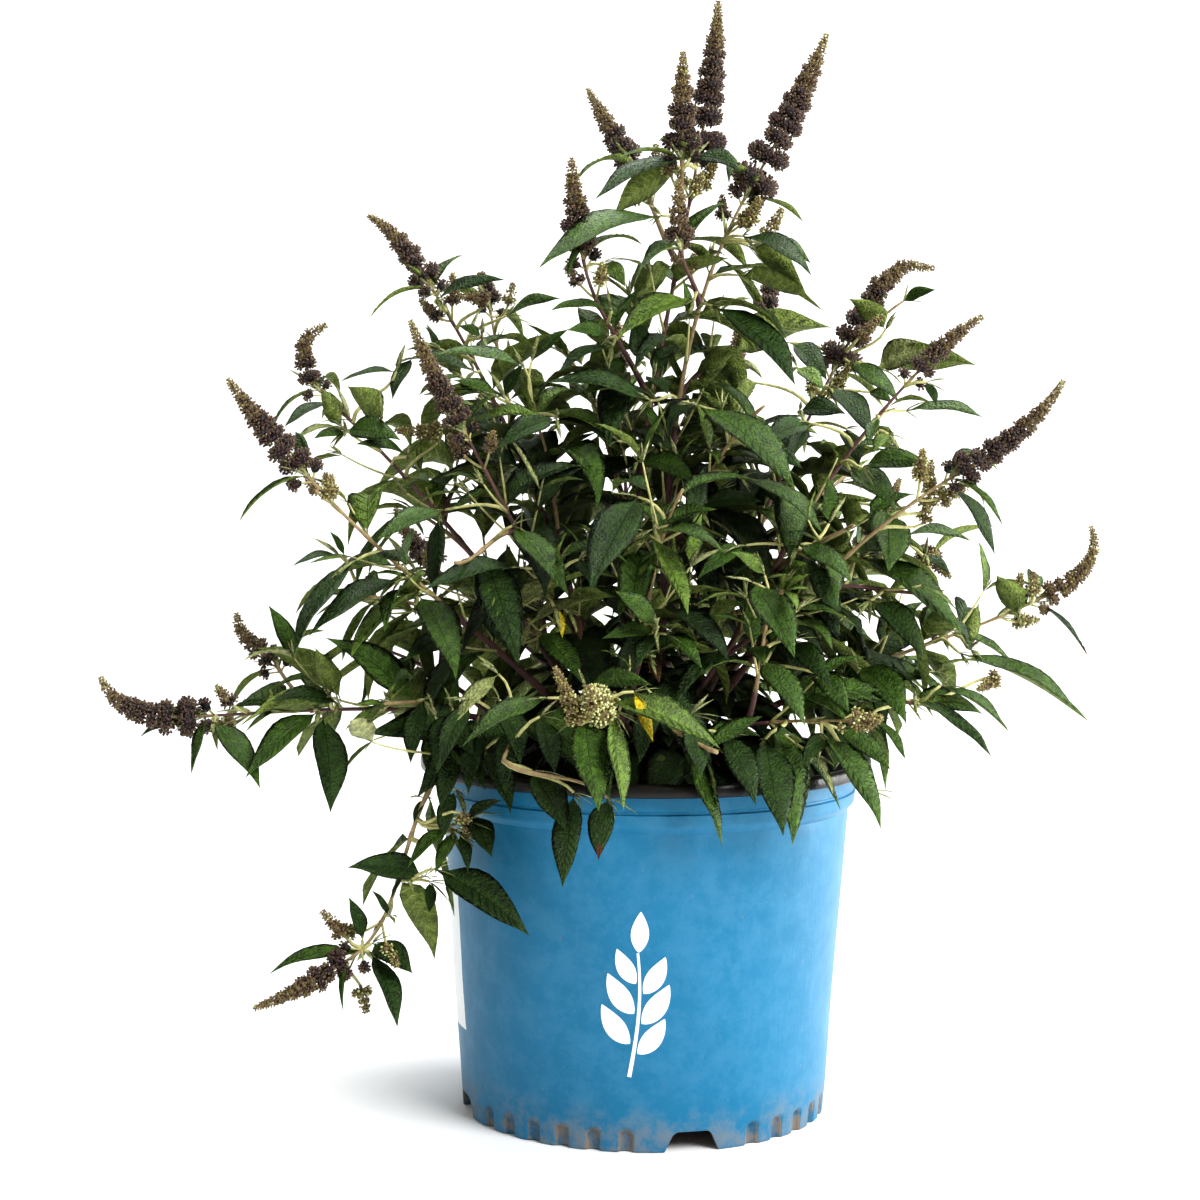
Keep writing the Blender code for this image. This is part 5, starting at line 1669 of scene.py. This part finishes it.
def lathe(shape, rings, dark=lambda number: False):
    """Smooth faces between rings of places round an axis. A ring may be a single place."""
    turns = max(len(ring) for ring in rings)
    made = [[shape.verts.new(place) for place in ring] for ring in rings]
    for number, (low, high) in enumerate(zip(made, made[1:])):
        for i in range(turns):
            j = (i + 1) % turns
            corners = [low[i % len(low)], low[j % len(low)], high[j % len(high)], high[i % len(high)]]
            face = shape.faces.new(list(dict.fromkeys(corners)))
            face.material_index = int(dark(number))
            face.smooth = True


def pot_mesh(dent):
    """The pot as one closed shell, with its flutes, grooves and slight dents in the mesh."""
    line, collar_top = pot_profile()
    first_outer = next(i for i, (radius, height) in enumerate(line) if radius >= outer_radius(height) - 0.002)
    last_outer = max(i for i, place in enumerate(line) if place[0] >= RIM_RADIUS - 0.0001)
    rings = []
    for i, (radius, height) in enumerate(line):
        if radius == 0.0:
            rings.append([(0, 0, height)])
            continue
        ring = []
        for j in range(POT_TURNS):
            angle = 2 * math.pi * j / POT_TURNS
            out = radius
            if first_outer <= i <= last_outer and height < FLUTE_HEIGHT + 0.001:
                out -= flute_depth(angle, height)
            out = dented(angle, out, height, dent)
            ring.append((out * math.cos(angle), out * math.sin(angle), height))
        rings.append(ring)
    shape = bmesh.new()
    lathe(shape, rings, lambda number: number > last_outer - 4 or line[number][1] >= collar_top - 0.0001)
    return mesh_from(shape, "pot_shell")


def notch_cutters():
    """Four tapered blocks with rounded edges."""
    shape = bmesh.new()
    for notch in range(NOTCHES):
        middle = NOTCH_TURN - math.pi / 2 + notch * 2 * math.pi / NOTCHES
        block = bmesh.new()
        bmesh.ops.create_cube(block, size=1)
        for vert in block.verts:
            width = NOTCH_TOP_WIDTH if vert.co.z > 0 else NOTCH_WIDTH
            height = NOTCH_HEIGHT if vert.co.z > 0 else -0.004
            vert.co = (BASE_RADIUS + vert.co.x * NOTCH_DEPTH, vert.co.y * width, height)
        upright = [edge for edge in block.edges if edge.calc_length() > NOTCH_DEPTH * 0.98]
        upright = [edge for edge in upright if all(vert.co.z > 0 for vert in edge.verts)]
        upright = [edge for edge in upright if abs(edge.verts[0].co.x - edge.verts[1].co.x) > 0.01]
        bmesh.ops.bevel(block, geom=upright, offset=0.003, segments=4, profile=0.5, affect="EDGES")
        block.transform(Matrix.Rotation(middle, 4, "Z"))
        mesh = mesh_from(block, "block", outward=False)
        shape.from_mesh(mesh)
        bpy.data.meshes.remove(mesh)
    return mesh_from(shape, "notch_cutters")


def cut(obj, mesh):
    """Cuts a mesh's shape out of an object."""
    cutter = new_object("cutter", mesh)
    changed(obj, "cut", "BOOLEAN", operation="DIFFERENCE", solver="EXACT", object=cutter)
    bpy.data.objects.remove(cutter)
    bpy.data.meshes.remove(mesh)


def wall_finish(settings):
    """Blue moulded plastic with a plain printed panel at its side, dusty low down, dirty in its drain holes and with
    painted shade in its flutes.
    """

    def make(nodes, place):
        x, y, z = nodes.split(place)
        radius = (x * x + y * y) ** 0.5
        sunk = z * (SHOULDER_RADIUS - BASE_RADIUS) / SHOULDER_HEIGHT + BASE_RADIUS - radius
        foot = 1.0 - z.between(0.015, 0.018)
        flute = sunk.between(0.0003, 0.0012) * foot
        lip = flute * (1.0 - sunk.between(0.0012, 0.0024))
        hole = sunk.between(0.0036, 0.0048) * foot
        cloud = nodes.noise(place, 11.0, 4.0)
        smear = nodes.noise(place, 60.0, 6.0, 0.7).between(0.38, 0.66)
        specks = nodes.noise(place, 420.0, 2.0).between(0.68, 0.80)
        creases = nodes.noise(nodes.stretched(place, (240.0, 240.0, 30.0)), 1.0, 3.0)
        base = nodes.mix(cloud, opaque(shaded(settings.wall, 0.86)), opaque(shaded(settings.wall, 1.16)))
        worn = nodes.mix(smear * 0.10, base, opaque(linear(120, 172, 206)))
        turn = x.turn_to(y * -1.0)
        ragged = smear * 0.006
        panel = (turn + ragged).near_range(-1.95, -1.187) * (z + ragged * 0.1).near_range(0.055, 0.144)
        printed = nodes.mix(panel * 0.96, worn, opaque(settings.ink))
        low = 1.0 - z.between(0.008, 0.034)
        soil = low * smear * 0.45 + lip * (smear * 0.6 + 0.3) + flute * smear * 0.25 + specks * 0.3
        # Painted shade inside the flutes.
        shadowed = nodes.mix(flute * 0.45, printed, opaque(shaded(settings.wall, 0.4)))
        dusty = nodes.mix(soil.at_most(0.85), shadowed, opaque(settings.dust))
        dirt = nodes.mix(smear, opaque(linear(46, 34, 24)), opaque(linear(120, 92, 60)))
        colour = nodes.mix(hole * 0.9, dusty, dirt)
        roughness = 0.38 + cloud * 0.08 + soil * 0.3
        grain = nodes.noise(place, 900.0, 2.0) * 0.2 + creases * 0.25 + nodes.noise(place, 34.0, 2.0) + soil
        return colour, roughness, grain, 0.0004

    return finish("pot_blue_plastic", make, 0.3)


def rim_finish(settings):
    """Black moulded plastic with a film of dust."""

    def make(nodes, place):
        film = nodes.noise(place, 38.0, 5.0, 0.6).between(0.45, 0.85)
        colour = nodes.mix(film * 0.07, opaque(settings.rim), opaque(settings.dust))
        return colour, 0.3 + film * 0.3, nodes.noise(place, 260.0, 3.0), 0.0003

    return finish("pot_black_plastic", make, 0.3)


PRINT_TURN = math.radians(-4)
PRINT_LOW = 0.046
PRINT_PROUD = 0.00018
PRINT_SUNK = -0.0004
SPRIG_STEM = 0.074
SPRIG_LEAVES = (
    (0.14, 52, 0.026), (0.22, -50, 0.028), (0.40, 48, 0.028), (0.48, -46, 0.028), (0.66, 42, 0.025),
    (0.74, -40, 0.023), (0.98, 4, 0.024),
)  # fmt: skip


def printed_strip(shape, line, halves, dent):
    """A thin closed strip on the pot's wall along a line of places, each an arc and a height."""
    rings = []
    for i, (place, half) in enumerate(zip(line, halves)):
        ahead = line[min(i + 1, len(line) - 1)] - line[max(i - 1, 0)]
        across = Vector((-ahead.y, ahead.x)).normalized() * half
        ring = []
        layers = [(side, PRINT_PROUD) for side in (-1, -0.5, 0, 0.5, 1)] + [(side, PRINT_SUNK) for side in (1, 0, -1)]
        for side, proud in layers:
            arc, height = place + across * side
            angle = PRINT_TURN - math.pi / 2 + arc / outer_radius(height)
            radius = dented(angle, outer_radius(height), height, dent) + proud
            ring.append(shape.verts.new((radius * math.cos(angle), radius * math.sin(angle), height)))
        rings.append(ring)
    verts = [vert for ring in rings for vert in ring]
    for face in grid_faces(len(rings), len(rings[0]), wrap=True):
        shape.faces.new([verts[i] for i in face])
    shape.faces.new(rings[0])
    shape.faces.new(rings[-1])


def sprig_mesh(dent):
    """A plain leafy sprig, printed on the front of the pot."""
    shape = bmesh.new()
    stem = [Vector((0.006 * math.sin(2.2 * t), PRINT_LOW + SPRIG_STEM * t)) for t in even(0, 1, 0.04)]
    printed_strip(shape, stem, [0.0012 - 0.0005 * i / len(stem) for i in range(len(stem))], dent)
    for share, lean, length in SPRIG_LEAVES:
        root = stem[round(share * (len(stem) - 1))]
        line, halves = [], []
        for t in even(0, 1, 0.06):
            turn = math.radians(lean * (1 - 0.25 * t))
            line.append(root + Vector((math.sin(turn), math.cos(turn))) * (0.0035 + length * t))
            halves.append(0.0002 + length * 0.21 * math.sin(math.pi * t**0.85) ** 0.9)
        printed_strip(shape, line, halves, dent)
    return mesh_from(shape, "pot_print")


# ---------------------------------------------------------------- potting mix and wood


def mix_mesh():
    """The mix as a closed form, with an uneven top that falls towards the wall."""
    floor = CHANNEL_HEIGHT + WALL + GAP
    edge_height = MIX_TOP - MIX_EDGE_DROP
    edge = outer_radius(edge_height) - WALL - 2 * GAP
    line = [(0, WALL + GAP), (FOOT_RADIUS - WALL - 2 * GAP, WALL + GAP)]
    line += [(FOOT_RADIUS + CHANNEL_SLOPE - WALL - GAP, floor), (outer_radius(floor) - WALL - 2 * GAP, floor)]
    line += [(edge, edge_height)]
    line += [(edge * (1 - (i + 0.5) / MIX_RINGS), None) for i in range(MIX_RINGS)]
    line += [(0, None)]
    rings = []
    for radius, height in line:
        ring = []
        for j in range(MIX_TURNS if radius else 1):
            angle = 2 * math.pi * j / MIX_TURNS
            x, y = radius * math.cos(angle), radius * math.sin(angle)
            z = height
            if height is None:
                fall = MIX_EDGE_DROP * (radius / edge) ** 3
                lumps = noise.noise(Vector((x * 55, y * 55, 2.0))) * 0.0016
                crumbs = noise.noise(Vector((x, y, 0)) * 190) * 0.0007
                z = MIX_TOP - 0.0016 - fall + (lumps + crumbs)
            ring.append((x, y, z))
        rings.append(ring)
    shape = bmesh.new()
    lathe(shape, rings)
    return mesh_from(shape, "mix_body")


def chip_mesh(name, seed):
    """One splinter of bark, about a unit long, with flat broken sides."""
    rng = random.Random(seed)
    shape = bmesh.new()
    bmesh.ops.create_icosphere(shape, subdivisions=1, radius=0.5)
    for vert in shape.verts:
        vert.co.x *= rng.uniform(0.8, 1.15)
        vert.co.y *= rng.uniform(0.35, 0.6)
        vert.co.z *= rng.uniform(0.14, 0.3)
    return mesh_from(shape, name)


CHIP_TINTS = (-1.0, 0.45, 0.78)


def chip_tree(materials, inputs):
    """The mix itself, and chips strewn over its top and turned at random."""
    nodes, given = geometry_tree("chips_on_mix", inputs)
    up = nodes.split(nodes.node("GeometryNodeInputNormal"))[2]
    x, y, height = nodes.split(nodes.node("GeometryNodeInputPosition"))
    inside = (x * x + y * y).below(CHIPS_WITHIN**2)
    top = up.above(0.5) * height.above(0.15) * inside
    values = {"Mesh": given["Geometry"], "Selection": top, "Density": given["Density"], "Seed": given["Seed"]}
    points = nodes.node("GeometryNodeDistributePointsOnFaces", None, values)
    turn = nodes.random("FLOAT_VECTOR", (-0.5, -0.5, -3.1), (0.5, 0.5, 3.1), 1)
    turn = nodes.node("FunctionNodeEulerToRotation", None, {"Euler": turn})
    size = nodes.random("FLOAT", 0.18, 1.0, 2) ** 1.6 * given["Length"]
    pick = nodes.random("INT", 0, 4, 3)
    chips = nodes.placed(given["Forms"], points, pick, Rotation=turn, Scale=nodes.vector(size, size, size))
    values = {"Geometry": chips, "Name": "tint", "Value": nodes.random("FLOAT", 0.0, 1.0, 5)}
    chips = nodes.node("GeometryNodeStoreNamedAttribute", {"data_type": "FLOAT", "domain": "INSTANCE"}, values)
    tint = nodes.attribute("tint")
    chips = nodes.painted(nodes.realized(chips), zip(materials, (tint.above(limit) for limit in CHIP_TINTS)))
    join = nodes.tree.nodes.new("GeometryNodeJoinGeometry")
    nodes.tree.links.new(given["Geometry"].output, join.inputs[0])
    nodes.tree.links.new(chips.output, join.inputs[0])
    out = nodes.tree.nodes.new("NodeGroupOutput")
    nodes.tree.links.new(join.outputs[0], out.inputs["Geometry"])
    return nodes


def soil_finish(name, dark, light):
    """Crumbs of mix or a chip's fibres, from dark to light."""

    def make(nodes, place):
        crumbs = nodes.noise(place, 300.0, 5.0, 0.7)
        fibres = nodes.noise(nodes.stretched(place, (500.0, 160.0, 500.0)), 1.0, 3.0)
        colour = nodes.mix((crumbs * 0.6 + fibres * 0.4).between(0.32, 0.68), opaque(dark), opaque(light))
        return colour, 0.82 + crumbs * 0.15, crumbs + fibres * 0.5, 0.0008

    return finish(name, make)


STUBS = (
    ((0.030, -0.034, 0.252), 0.0034),
    ((0.012, -0.040, 0.262), 0.0030),
    ((-0.022, -0.030, 0.243), 0.0036),
    ((0.036, 0.026, 0.240), 0.0032),
)


def tube_shape(shape, points, radii, sides=12):
    """Adds a closed tube along points to a bmesh."""
    side = (points[1] - points[0]).orthogonal().normalized()
    rings = []
    for i, (point, radius) in enumerate(zip(points, radii)):
        way = (points[min(i + 1, len(points) - 1)] - points[max(i - 1, 0)]).normalized()
        side = (side - way * side.dot(way)).normalized()
        other = way.cross(side)
        ring = []
        for j in range(sides):
            angle = 2 * math.pi * j / sides
            ring.append(shape.verts.new(point + (side * math.cos(angle) + other * math.sin(angle)) * radius))
        rings.append(ring)
    shape.faces.new(rings[0][::-1])
    shape.faces.new(rings[-1])
    for low, high in zip(rings, rings[1:]):
        for j in range(sides):
            k = (j + 1) % sides
            shape.faces.new((low[j], low[k], high[k], high[j]))


def wood_object(bush, ridge):
    """The crown, its boughs and a few pruned stubs, grown into one skin with ridged bark."""
    shape = bmesh.new()
    base = MIX_TOP - 0.003
    heights = [(0.024, base)] + [(r, MIX_TOP + CROWN_HEIGHT * share) for r, share in CROWN_PROFILE]
    tube_shape(shape, [Vector((0, 0, z)) for _, z in heights], [r for r, _ in heights], 24)
    for mass, path in bush.firsts.items():
        distances = even(0, bush.starts[mass] + 0.002, 0.004)
        radii = []
        for distance in distances:
            swell = STUB_SWELL * max(0.0, 1 - distance / STUB_LENGTH)
            radii.append(cane_radius(path.length, max(distance, STUB_LENGTH)) * (1 + swell) + 0.0002)
        tube_shape(shape, [path.at(distance)[0] for distance in distances], radii)
    for end, radius in STUBS:
        end = Vector(end)
        start = CROWN_CENTRE + Vector((end.x, end.y, 0)).normalized() * 0.006
        points = cubic(start, (UP + Vector((end.x, end.y, 0)) * 12).normalized(), end, (end - start).normalized(), 10)
        tube_shape(shape, points, [radius] * len(points))
    obj = new_object("wood", mesh_from(shape, "wood_rough", outward=False))
    changed(obj, "skin", "REMESH", mode="VOXEL", voxel_size=BARK_VOXEL)
    made = obj.data
    normals = [vertex.normal.copy() for vertex in made.vertices]
    ends = [Vector(end) for end, _ in STUBS]
    for vertex, normal in zip(made.vertices, normals):
        place = vertex.co
        strands = noise.noise(Vector((place.x * 520, place.y * 520, place.z * 90)))
        knots = noise.noise(place * 160)
        flat = min((place - end).length for end in ends) < 0.004
        if not flat:
            vertex.co = place + normal * ridge * (0.55 * strands + 0.45 * knots)
    for polygon in made.polygons:
        polygon.use_smooth = True
        near = min(ends, key=lambda end: (polygon.center - end).length)
        facing = polygon.normal.dot((near - CROWN_CENTRE).normalized())
        polygon.material_index = int((polygon.center - near).length < 0.0040 and facing > 0.75)
    return obj


def bark_finish(settings):
    """Fibrous bark: pale strands over a darker ground."""

    def make(nodes, place):
        strands = nodes.noise(nodes.stretched(place, (420.0, 420.0, 60.0)), 1.0, 4.0, 0.6)
        patches = nodes.noise(place, 70.0, 3.0)
        mixed = (strands * 0.7 + patches * 0.3).between(0.34, 0.66)
        colour = nodes.mix(mixed, opaque(shaded(settings.bark, 0.5)), opaque(shaded(settings.bark, 1.35)))
        return colour, 0.78 + strands * 0.15, strands, 0.0012

    return finish("bark", make)


def cut_finish(settings):
    """The sawn end of a pruned stem."""

    def make(nodes, place):
        grain = nodes.noise(place, 700.0, 3.0)
        colour = nodes.mix(grain, opaque(shaded(settings.cut, 0.75)), opaque(settings.cut))
        return colour, 0.7 + grain * 0.2, grain, 0.0004

    return finish("cut_wood", make)


# ---------------------------------------------------------------- operators


class BUSH_OT_pot(bpy.types.Operator):
    """Makes the pot with its flutes, notches, grooves and rolled rim"""

    bl_idname = "bush.pot"
    bl_label = "Pot"

    def execute(self, context):
        settings = context.scene.bush_pot
        obj = new_object("pot_shell", pot_mesh(settings.dent), wall_finish(settings), rim_finish(settings))
        cut(obj, notch_cutters())
        obj.data.set_sharp_from_angle(angle=math.radians(38))
        finished(obj, "pot", "pot")
        ink = mottled("pot_ink", settings.ink, 0.45, 90.0, 0.0002, 0.04)
        finished(new_object("pot_print", sprig_mesh(settings.dent), ink), "pot", "pot")
        return {"FINISHED"}


class BUSH_OT_mix(bpy.types.Operator):
    """Makes the bark mix that fills the pot, with chips strewn over it"""

    bl_idname = "bush.mix"
    bl_label = "Potting mix"

    def execute(self, context):
        settings = context.scene.bush_mix
        forms = forms_collection("chip", [chip_mesh(f"chip_{i}", i + 1) for i in range(5)])
        soil = soil_finish("mix_soil", shaded(settings.soil, 0.5), shaded(settings.soil, 1.6))
        chips = [
            soil_finish("mix_chip_dark", shaded(settings.chip, 0.35), shaded(settings.chip, 0.8)),
            soil_finish("mix_chip", shaded(settings.chip, 0.6), shaded(settings.chip, 1.3)),
            soil_finish("mix_chip_pale", shaded(settings.chip, 1.0), shaded(settings.chip, 2.0)),
        ]
        body = mix_mesh()
        body.materials.append(soil)
        sizes = {"Length": settings.chip_length, "Density": settings.density, "Seed": settings.seed}
        inputs = {"Forms": forms} | sizes
        obj = run_tree("potting_mix_top", chip_tree(chips, inputs), body, inputs)
        drop_forms(forms)
        finished(obj, "potting_mix", "potting_mix")
        return {"FINISHED"}


class BUSH_OT_wood(bpy.types.Operator):
    """Makes the woody crown and its boughs with ridged bark"""

    bl_idname = "bush.wood"
    bl_label = "Crown and boughs"

    def execute(self, context):
        settings = context.scene.bush_wood
        obj = wood_object(the_bush(context.scene), settings.ridge)
        obj.data.materials.append(bark_finish(settings))
        obj.data.materials.append(cut_finish(settings))
        finished(obj, "bark", "root_crown", *BOUGHS)
        return {"FINISHED"}


class BUSH_OT_shoots(bpy.types.Operator):
    """Makes the canes, forks, side shoots and flower stalks"""

    bl_idname = "bush.shoots"
    bl_label = "Shoots"

    def execute(self, context):
        settings = context.scene.bush_wood
        materials = [
            mottled("cane_" + tone, getattr(settings, tone), 0.55, 320.0, 0.0004, 0.25) for tone in STEM_TONES
        ]
        inputs = {"Thickness": 1.0}
        lines = lines_mesh("shoot_lines", the_bush(context.scene).stems)
        finished(run_tree("shoots", tube_tree(materials, 6, inputs), lines, inputs), "bark", *FOLIAGE)
        return {"FINISHED"}


class BUSH_OT_leaves(bpy.types.Operator):
    """Makes the leaves, dealt out in four pieces"""

    bl_idname = "bush.leaves"
    bl_label = "Leaves"

    def execute(self, context):
        settings = context.scene.bush_leaf
        roughness = {"under": 0.75, "downy": 0.8, "young": 0.65, "dry": 0.85}
        materials = {
            name: mottled("leaf_" + name, getattr(settings, name), roughness.get(name, 0.44), *LEAF_FINISH)
            for name in (*TONES[:6], "shade", "under", "downy")
        }
        # Painted shade: a much darker underside for the leaves deep inside the bush.
        materials["inner"] = mottled("leaf_inner", shaded(settings.under, 0.35), 0.75, 240.0, 0.0005, 0.2, 0.2)
        # Veins are darker, partly their own colour and partly painted shade in their sunken grooves.
        for name in VEINED:
            vein_groove_shade = shaded(getattr(settings, name), 0.36)
            materials["vein_" + name] = mottled("vein_" + name, vein_groove_shade, 0.5, 240.0, 0.0003, 0.2, 0.2)
        meshes = [
            leaf_mesh("broad", 8, 0.07, PLAIN_COLUMNS),
            leaf_mesh("middle", 5, 0.06, PLAIN_COLUMNS),
            leaf_mesh("small", 0, 0.06),
            leaf_mesh("slim", 0, 0.03),
            leaf_mesh("front", 10, 0.07, FINE_COLUMNS, (0.5, 0, -0.5)),
        ]
        inputs = {"Forms": forms_collection("leaf_form", meshes), "Fold": settings.fold, "Ripple": settings.ripple}
        deal_out("leaves_", the_bush(context.scene).leaves, leaf_points, leaf_tree(materials, inputs), inputs)
        return {"FINISHED"}


class BUSH_OT_flowers(bpy.types.Operator):
    """Makes the buds of the flower spikes, dealt out in four pieces"""

    bl_idname = "bush.flowers"
    bl_label = "Flower spikes"

    def execute(self, context):
        settings = context.scene.bush_flower
        materials = {
            name: mottled("bud_" + name, getattr(settings, name), 0.5, 700.0, 0.0003, 0.3)
            for name in (*BUD_TONES, "calyx", "core")
        }
        # The pale core is painted shade as well, less dark, for the young green heads.
        materials["pale_core"] = mottled("bud_pale_core", shaded(settings.olive, 0.6), 0.6, 700.0, 0.0003, 0.3)
        inputs = {"Forms": forms_collection("bud_form", [bud_mesh("bud"), core_mesh("core")])}
        deal_out("buds_", the_bush(context.scene).buds, bud_points, bud_tree(materials, inputs), inputs)
        return {"FINISHED"}


# Where each light stands, how high the place is that it looks at and its size.
LIGHTS = {
    "key": ((1.5, -1.7, 1.9), 0.3, 1.6),
    "edge": ((2.0, 0.5, 0.5), 0.2, 1.2),
    "fill": ((-1.9, -1.4, 1.0), 0.3, 1.2),
    "top": ((0.2, 0.6, 2.2), 0.3, 1.2),
}
FLOOR_FRONT = -4.0
FLOOR_BACK = 1.6
SWEEP = 0.9
BACKDROP_TOP = 5.0
BACKDROP_HALF = 5.0
CAMERA_PITCH = math.radians(3.94)
CAMERA_YAW = math.radians(-1.08)
CAMERA_ROLL = math.radians(0.4)


def camera_matrix():
    """The camera's place and its right, up and back directions."""
    ahead = Vector((math.sin(CAMERA_YAW), math.cos(CAMERA_YAW), 0))
    level = Vector((math.cos(CAMERA_YAW), -math.sin(CAMERA_YAW), 0))
    forward = ahead * math.cos(CAMERA_PITCH) - UP * math.sin(CAMERA_PITCH)
    above = ahead * math.sin(CAMERA_PITCH) + UP * math.cos(CAMERA_PITCH)
    right = level * math.cos(CAMERA_ROLL) + above * math.sin(CAMERA_ROLL)
    up = above * math.cos(CAMERA_ROLL) - level * math.sin(CAMERA_ROLL)
    turn = Matrix((right, up, -forward)).transposed().to_4x4()
    return Matrix.Translation(CAMERA_PLACE) @ turn


def backdrop_mesh():
    """A floor that sweeps up behind into a backdrop."""
    line = [(FLOOR_FRONT, 0.0), (FLOOR_BACK, 0.0)]
    for angle in map(math.radians, range(6, 91, 6)):
        line.append((FLOOR_BACK + SWEEP * math.sin(angle), SWEEP - SWEEP * math.cos(angle)))
    line.append((FLOOR_BACK + SWEEP, BACKDROP_TOP))
    verts = [(x, y, z) for y, z in line for x in (-BACKDROP_HALF, BACKDROP_HALF)]
    mesh = bpy.data.meshes.new("backdrop")
    mesh.from_pydata(verts, [], grid_faces(len(line), 2))
    for polygon in mesh.polygons:
        polygon.use_smooth = True
    return mesh


def area_light(name, place, target, size, power):
    light = bpy.data.lights.new(name, "AREA")
    light.shape = "DISK"
    light.size = size
    light.energy = power
    obj = new_object(name, light)
    obj.location = place
    obj.rotation_euler = (target - place).to_track_quat("-Z", "Y").to_euler()


class BUSH_OT_stage(bpy.types.Operator):
    """Makes the pale floor, the soft lights and the camera"""

    bl_idname = "bush.stage"
    bl_label = "Stage"

    def execute(self, context):
        scene = context.scene
        settings = scene.bush_stage

        def make(nodes, place):
            grain = nodes.noise(place, 20.0, 2.0)
            colour = nodes.mix(grain, opaque(shaded(settings.floor, 0.99)), opaque(settings.floor))
            return colour, 0.7 + grain * 0.1, grain, 0.0001

        floor = new_object("backdrop", backdrop_mesh(), finish("backdrop", make))
        world = bpy.data.worlds.new("studio")
        world.use_nodes = True
        background = world.node_tree.nodes["Background"]
        background.inputs["Color"].default_value = (1, 1, 1, 1)
        background.inputs["Strength"].default_value = settings.sky
        scene.world = world
        for name, (place, height, size) in LIGHTS.items():
            area_light(name, Vector(place), Vector((0, 0, height)), size, getattr(settings, name))
        camera = bpy.data.cameras.new("camera")
        camera.lens = settings.lens
        camera.sensor_width = 36
        camera.clip_end = 50
        scene.camera = new_object("camera", camera)
        scene.camera.matrix_world = camera_matrix()
        scene.view_settings.view_transform = "Standard"
        scene.view_settings.look = "Medium High Contrast"
        return {"FINISHED"}


class BUSH_PT_panel(bpy.types.Panel):
    """Lists the settings and the pieces"""

    bl_idname = "BUSH_PT_panel"
    bl_label = "Potted butterfly bush"
    bl_space_type = "VIEW_3D"
    bl_region_type = "UI"
    bl_category = "Bush"

    def draw(self, context):
        for operator, name in OPERATORS.items():
            box = self.layout.box()
            box.operator(operator.bl_idname)
            settings = getattr(context.scene, name)
            for field in settings.__annotations__:
                box.prop(settings, field)


OPERATORS = {
    BUSH_OT_stage: "bush_stage",
    BUSH_OT_pot: "bush_pot",
    BUSH_OT_mix: "bush_mix",
    BUSH_OT_wood: "bush_wood",
    BUSH_OT_shoots: "bush_wood",
    BUSH_OT_leaves: "bush_leaf",
    BUSH_OT_flowers: "bush_flower",
}


def register():
    for name, settings in SETTINGS:
        bpy.utils.register_class(settings)
        setattr(bpy.types.Scene, name, PointerProperty(type=settings))
    for made in (*OPERATORS, BUSH_PT_panel):
        bpy.utils.register_class(made)


def unregister():
    for made in (BUSH_PT_panel, *reversed(OPERATORS)):
        bpy.utils.unregister_class(made)
    for name, settings in reversed(SETTINGS):
        delattr(bpy.types.Scene, name)
        bpy.utils.unregister_class(settings)


def main():
    register()
    bpy.ops.bush.stage()
    bpy.ops.bush.pot()
    bpy.ops.bush.mix()
    bpy.ops.bush.wood()
    bpy.ops.bush.shoots()
    bpy.ops.bush.leaves()
    bpy.ops.bush.flowers()


if __name__ == "__main__":
    main()
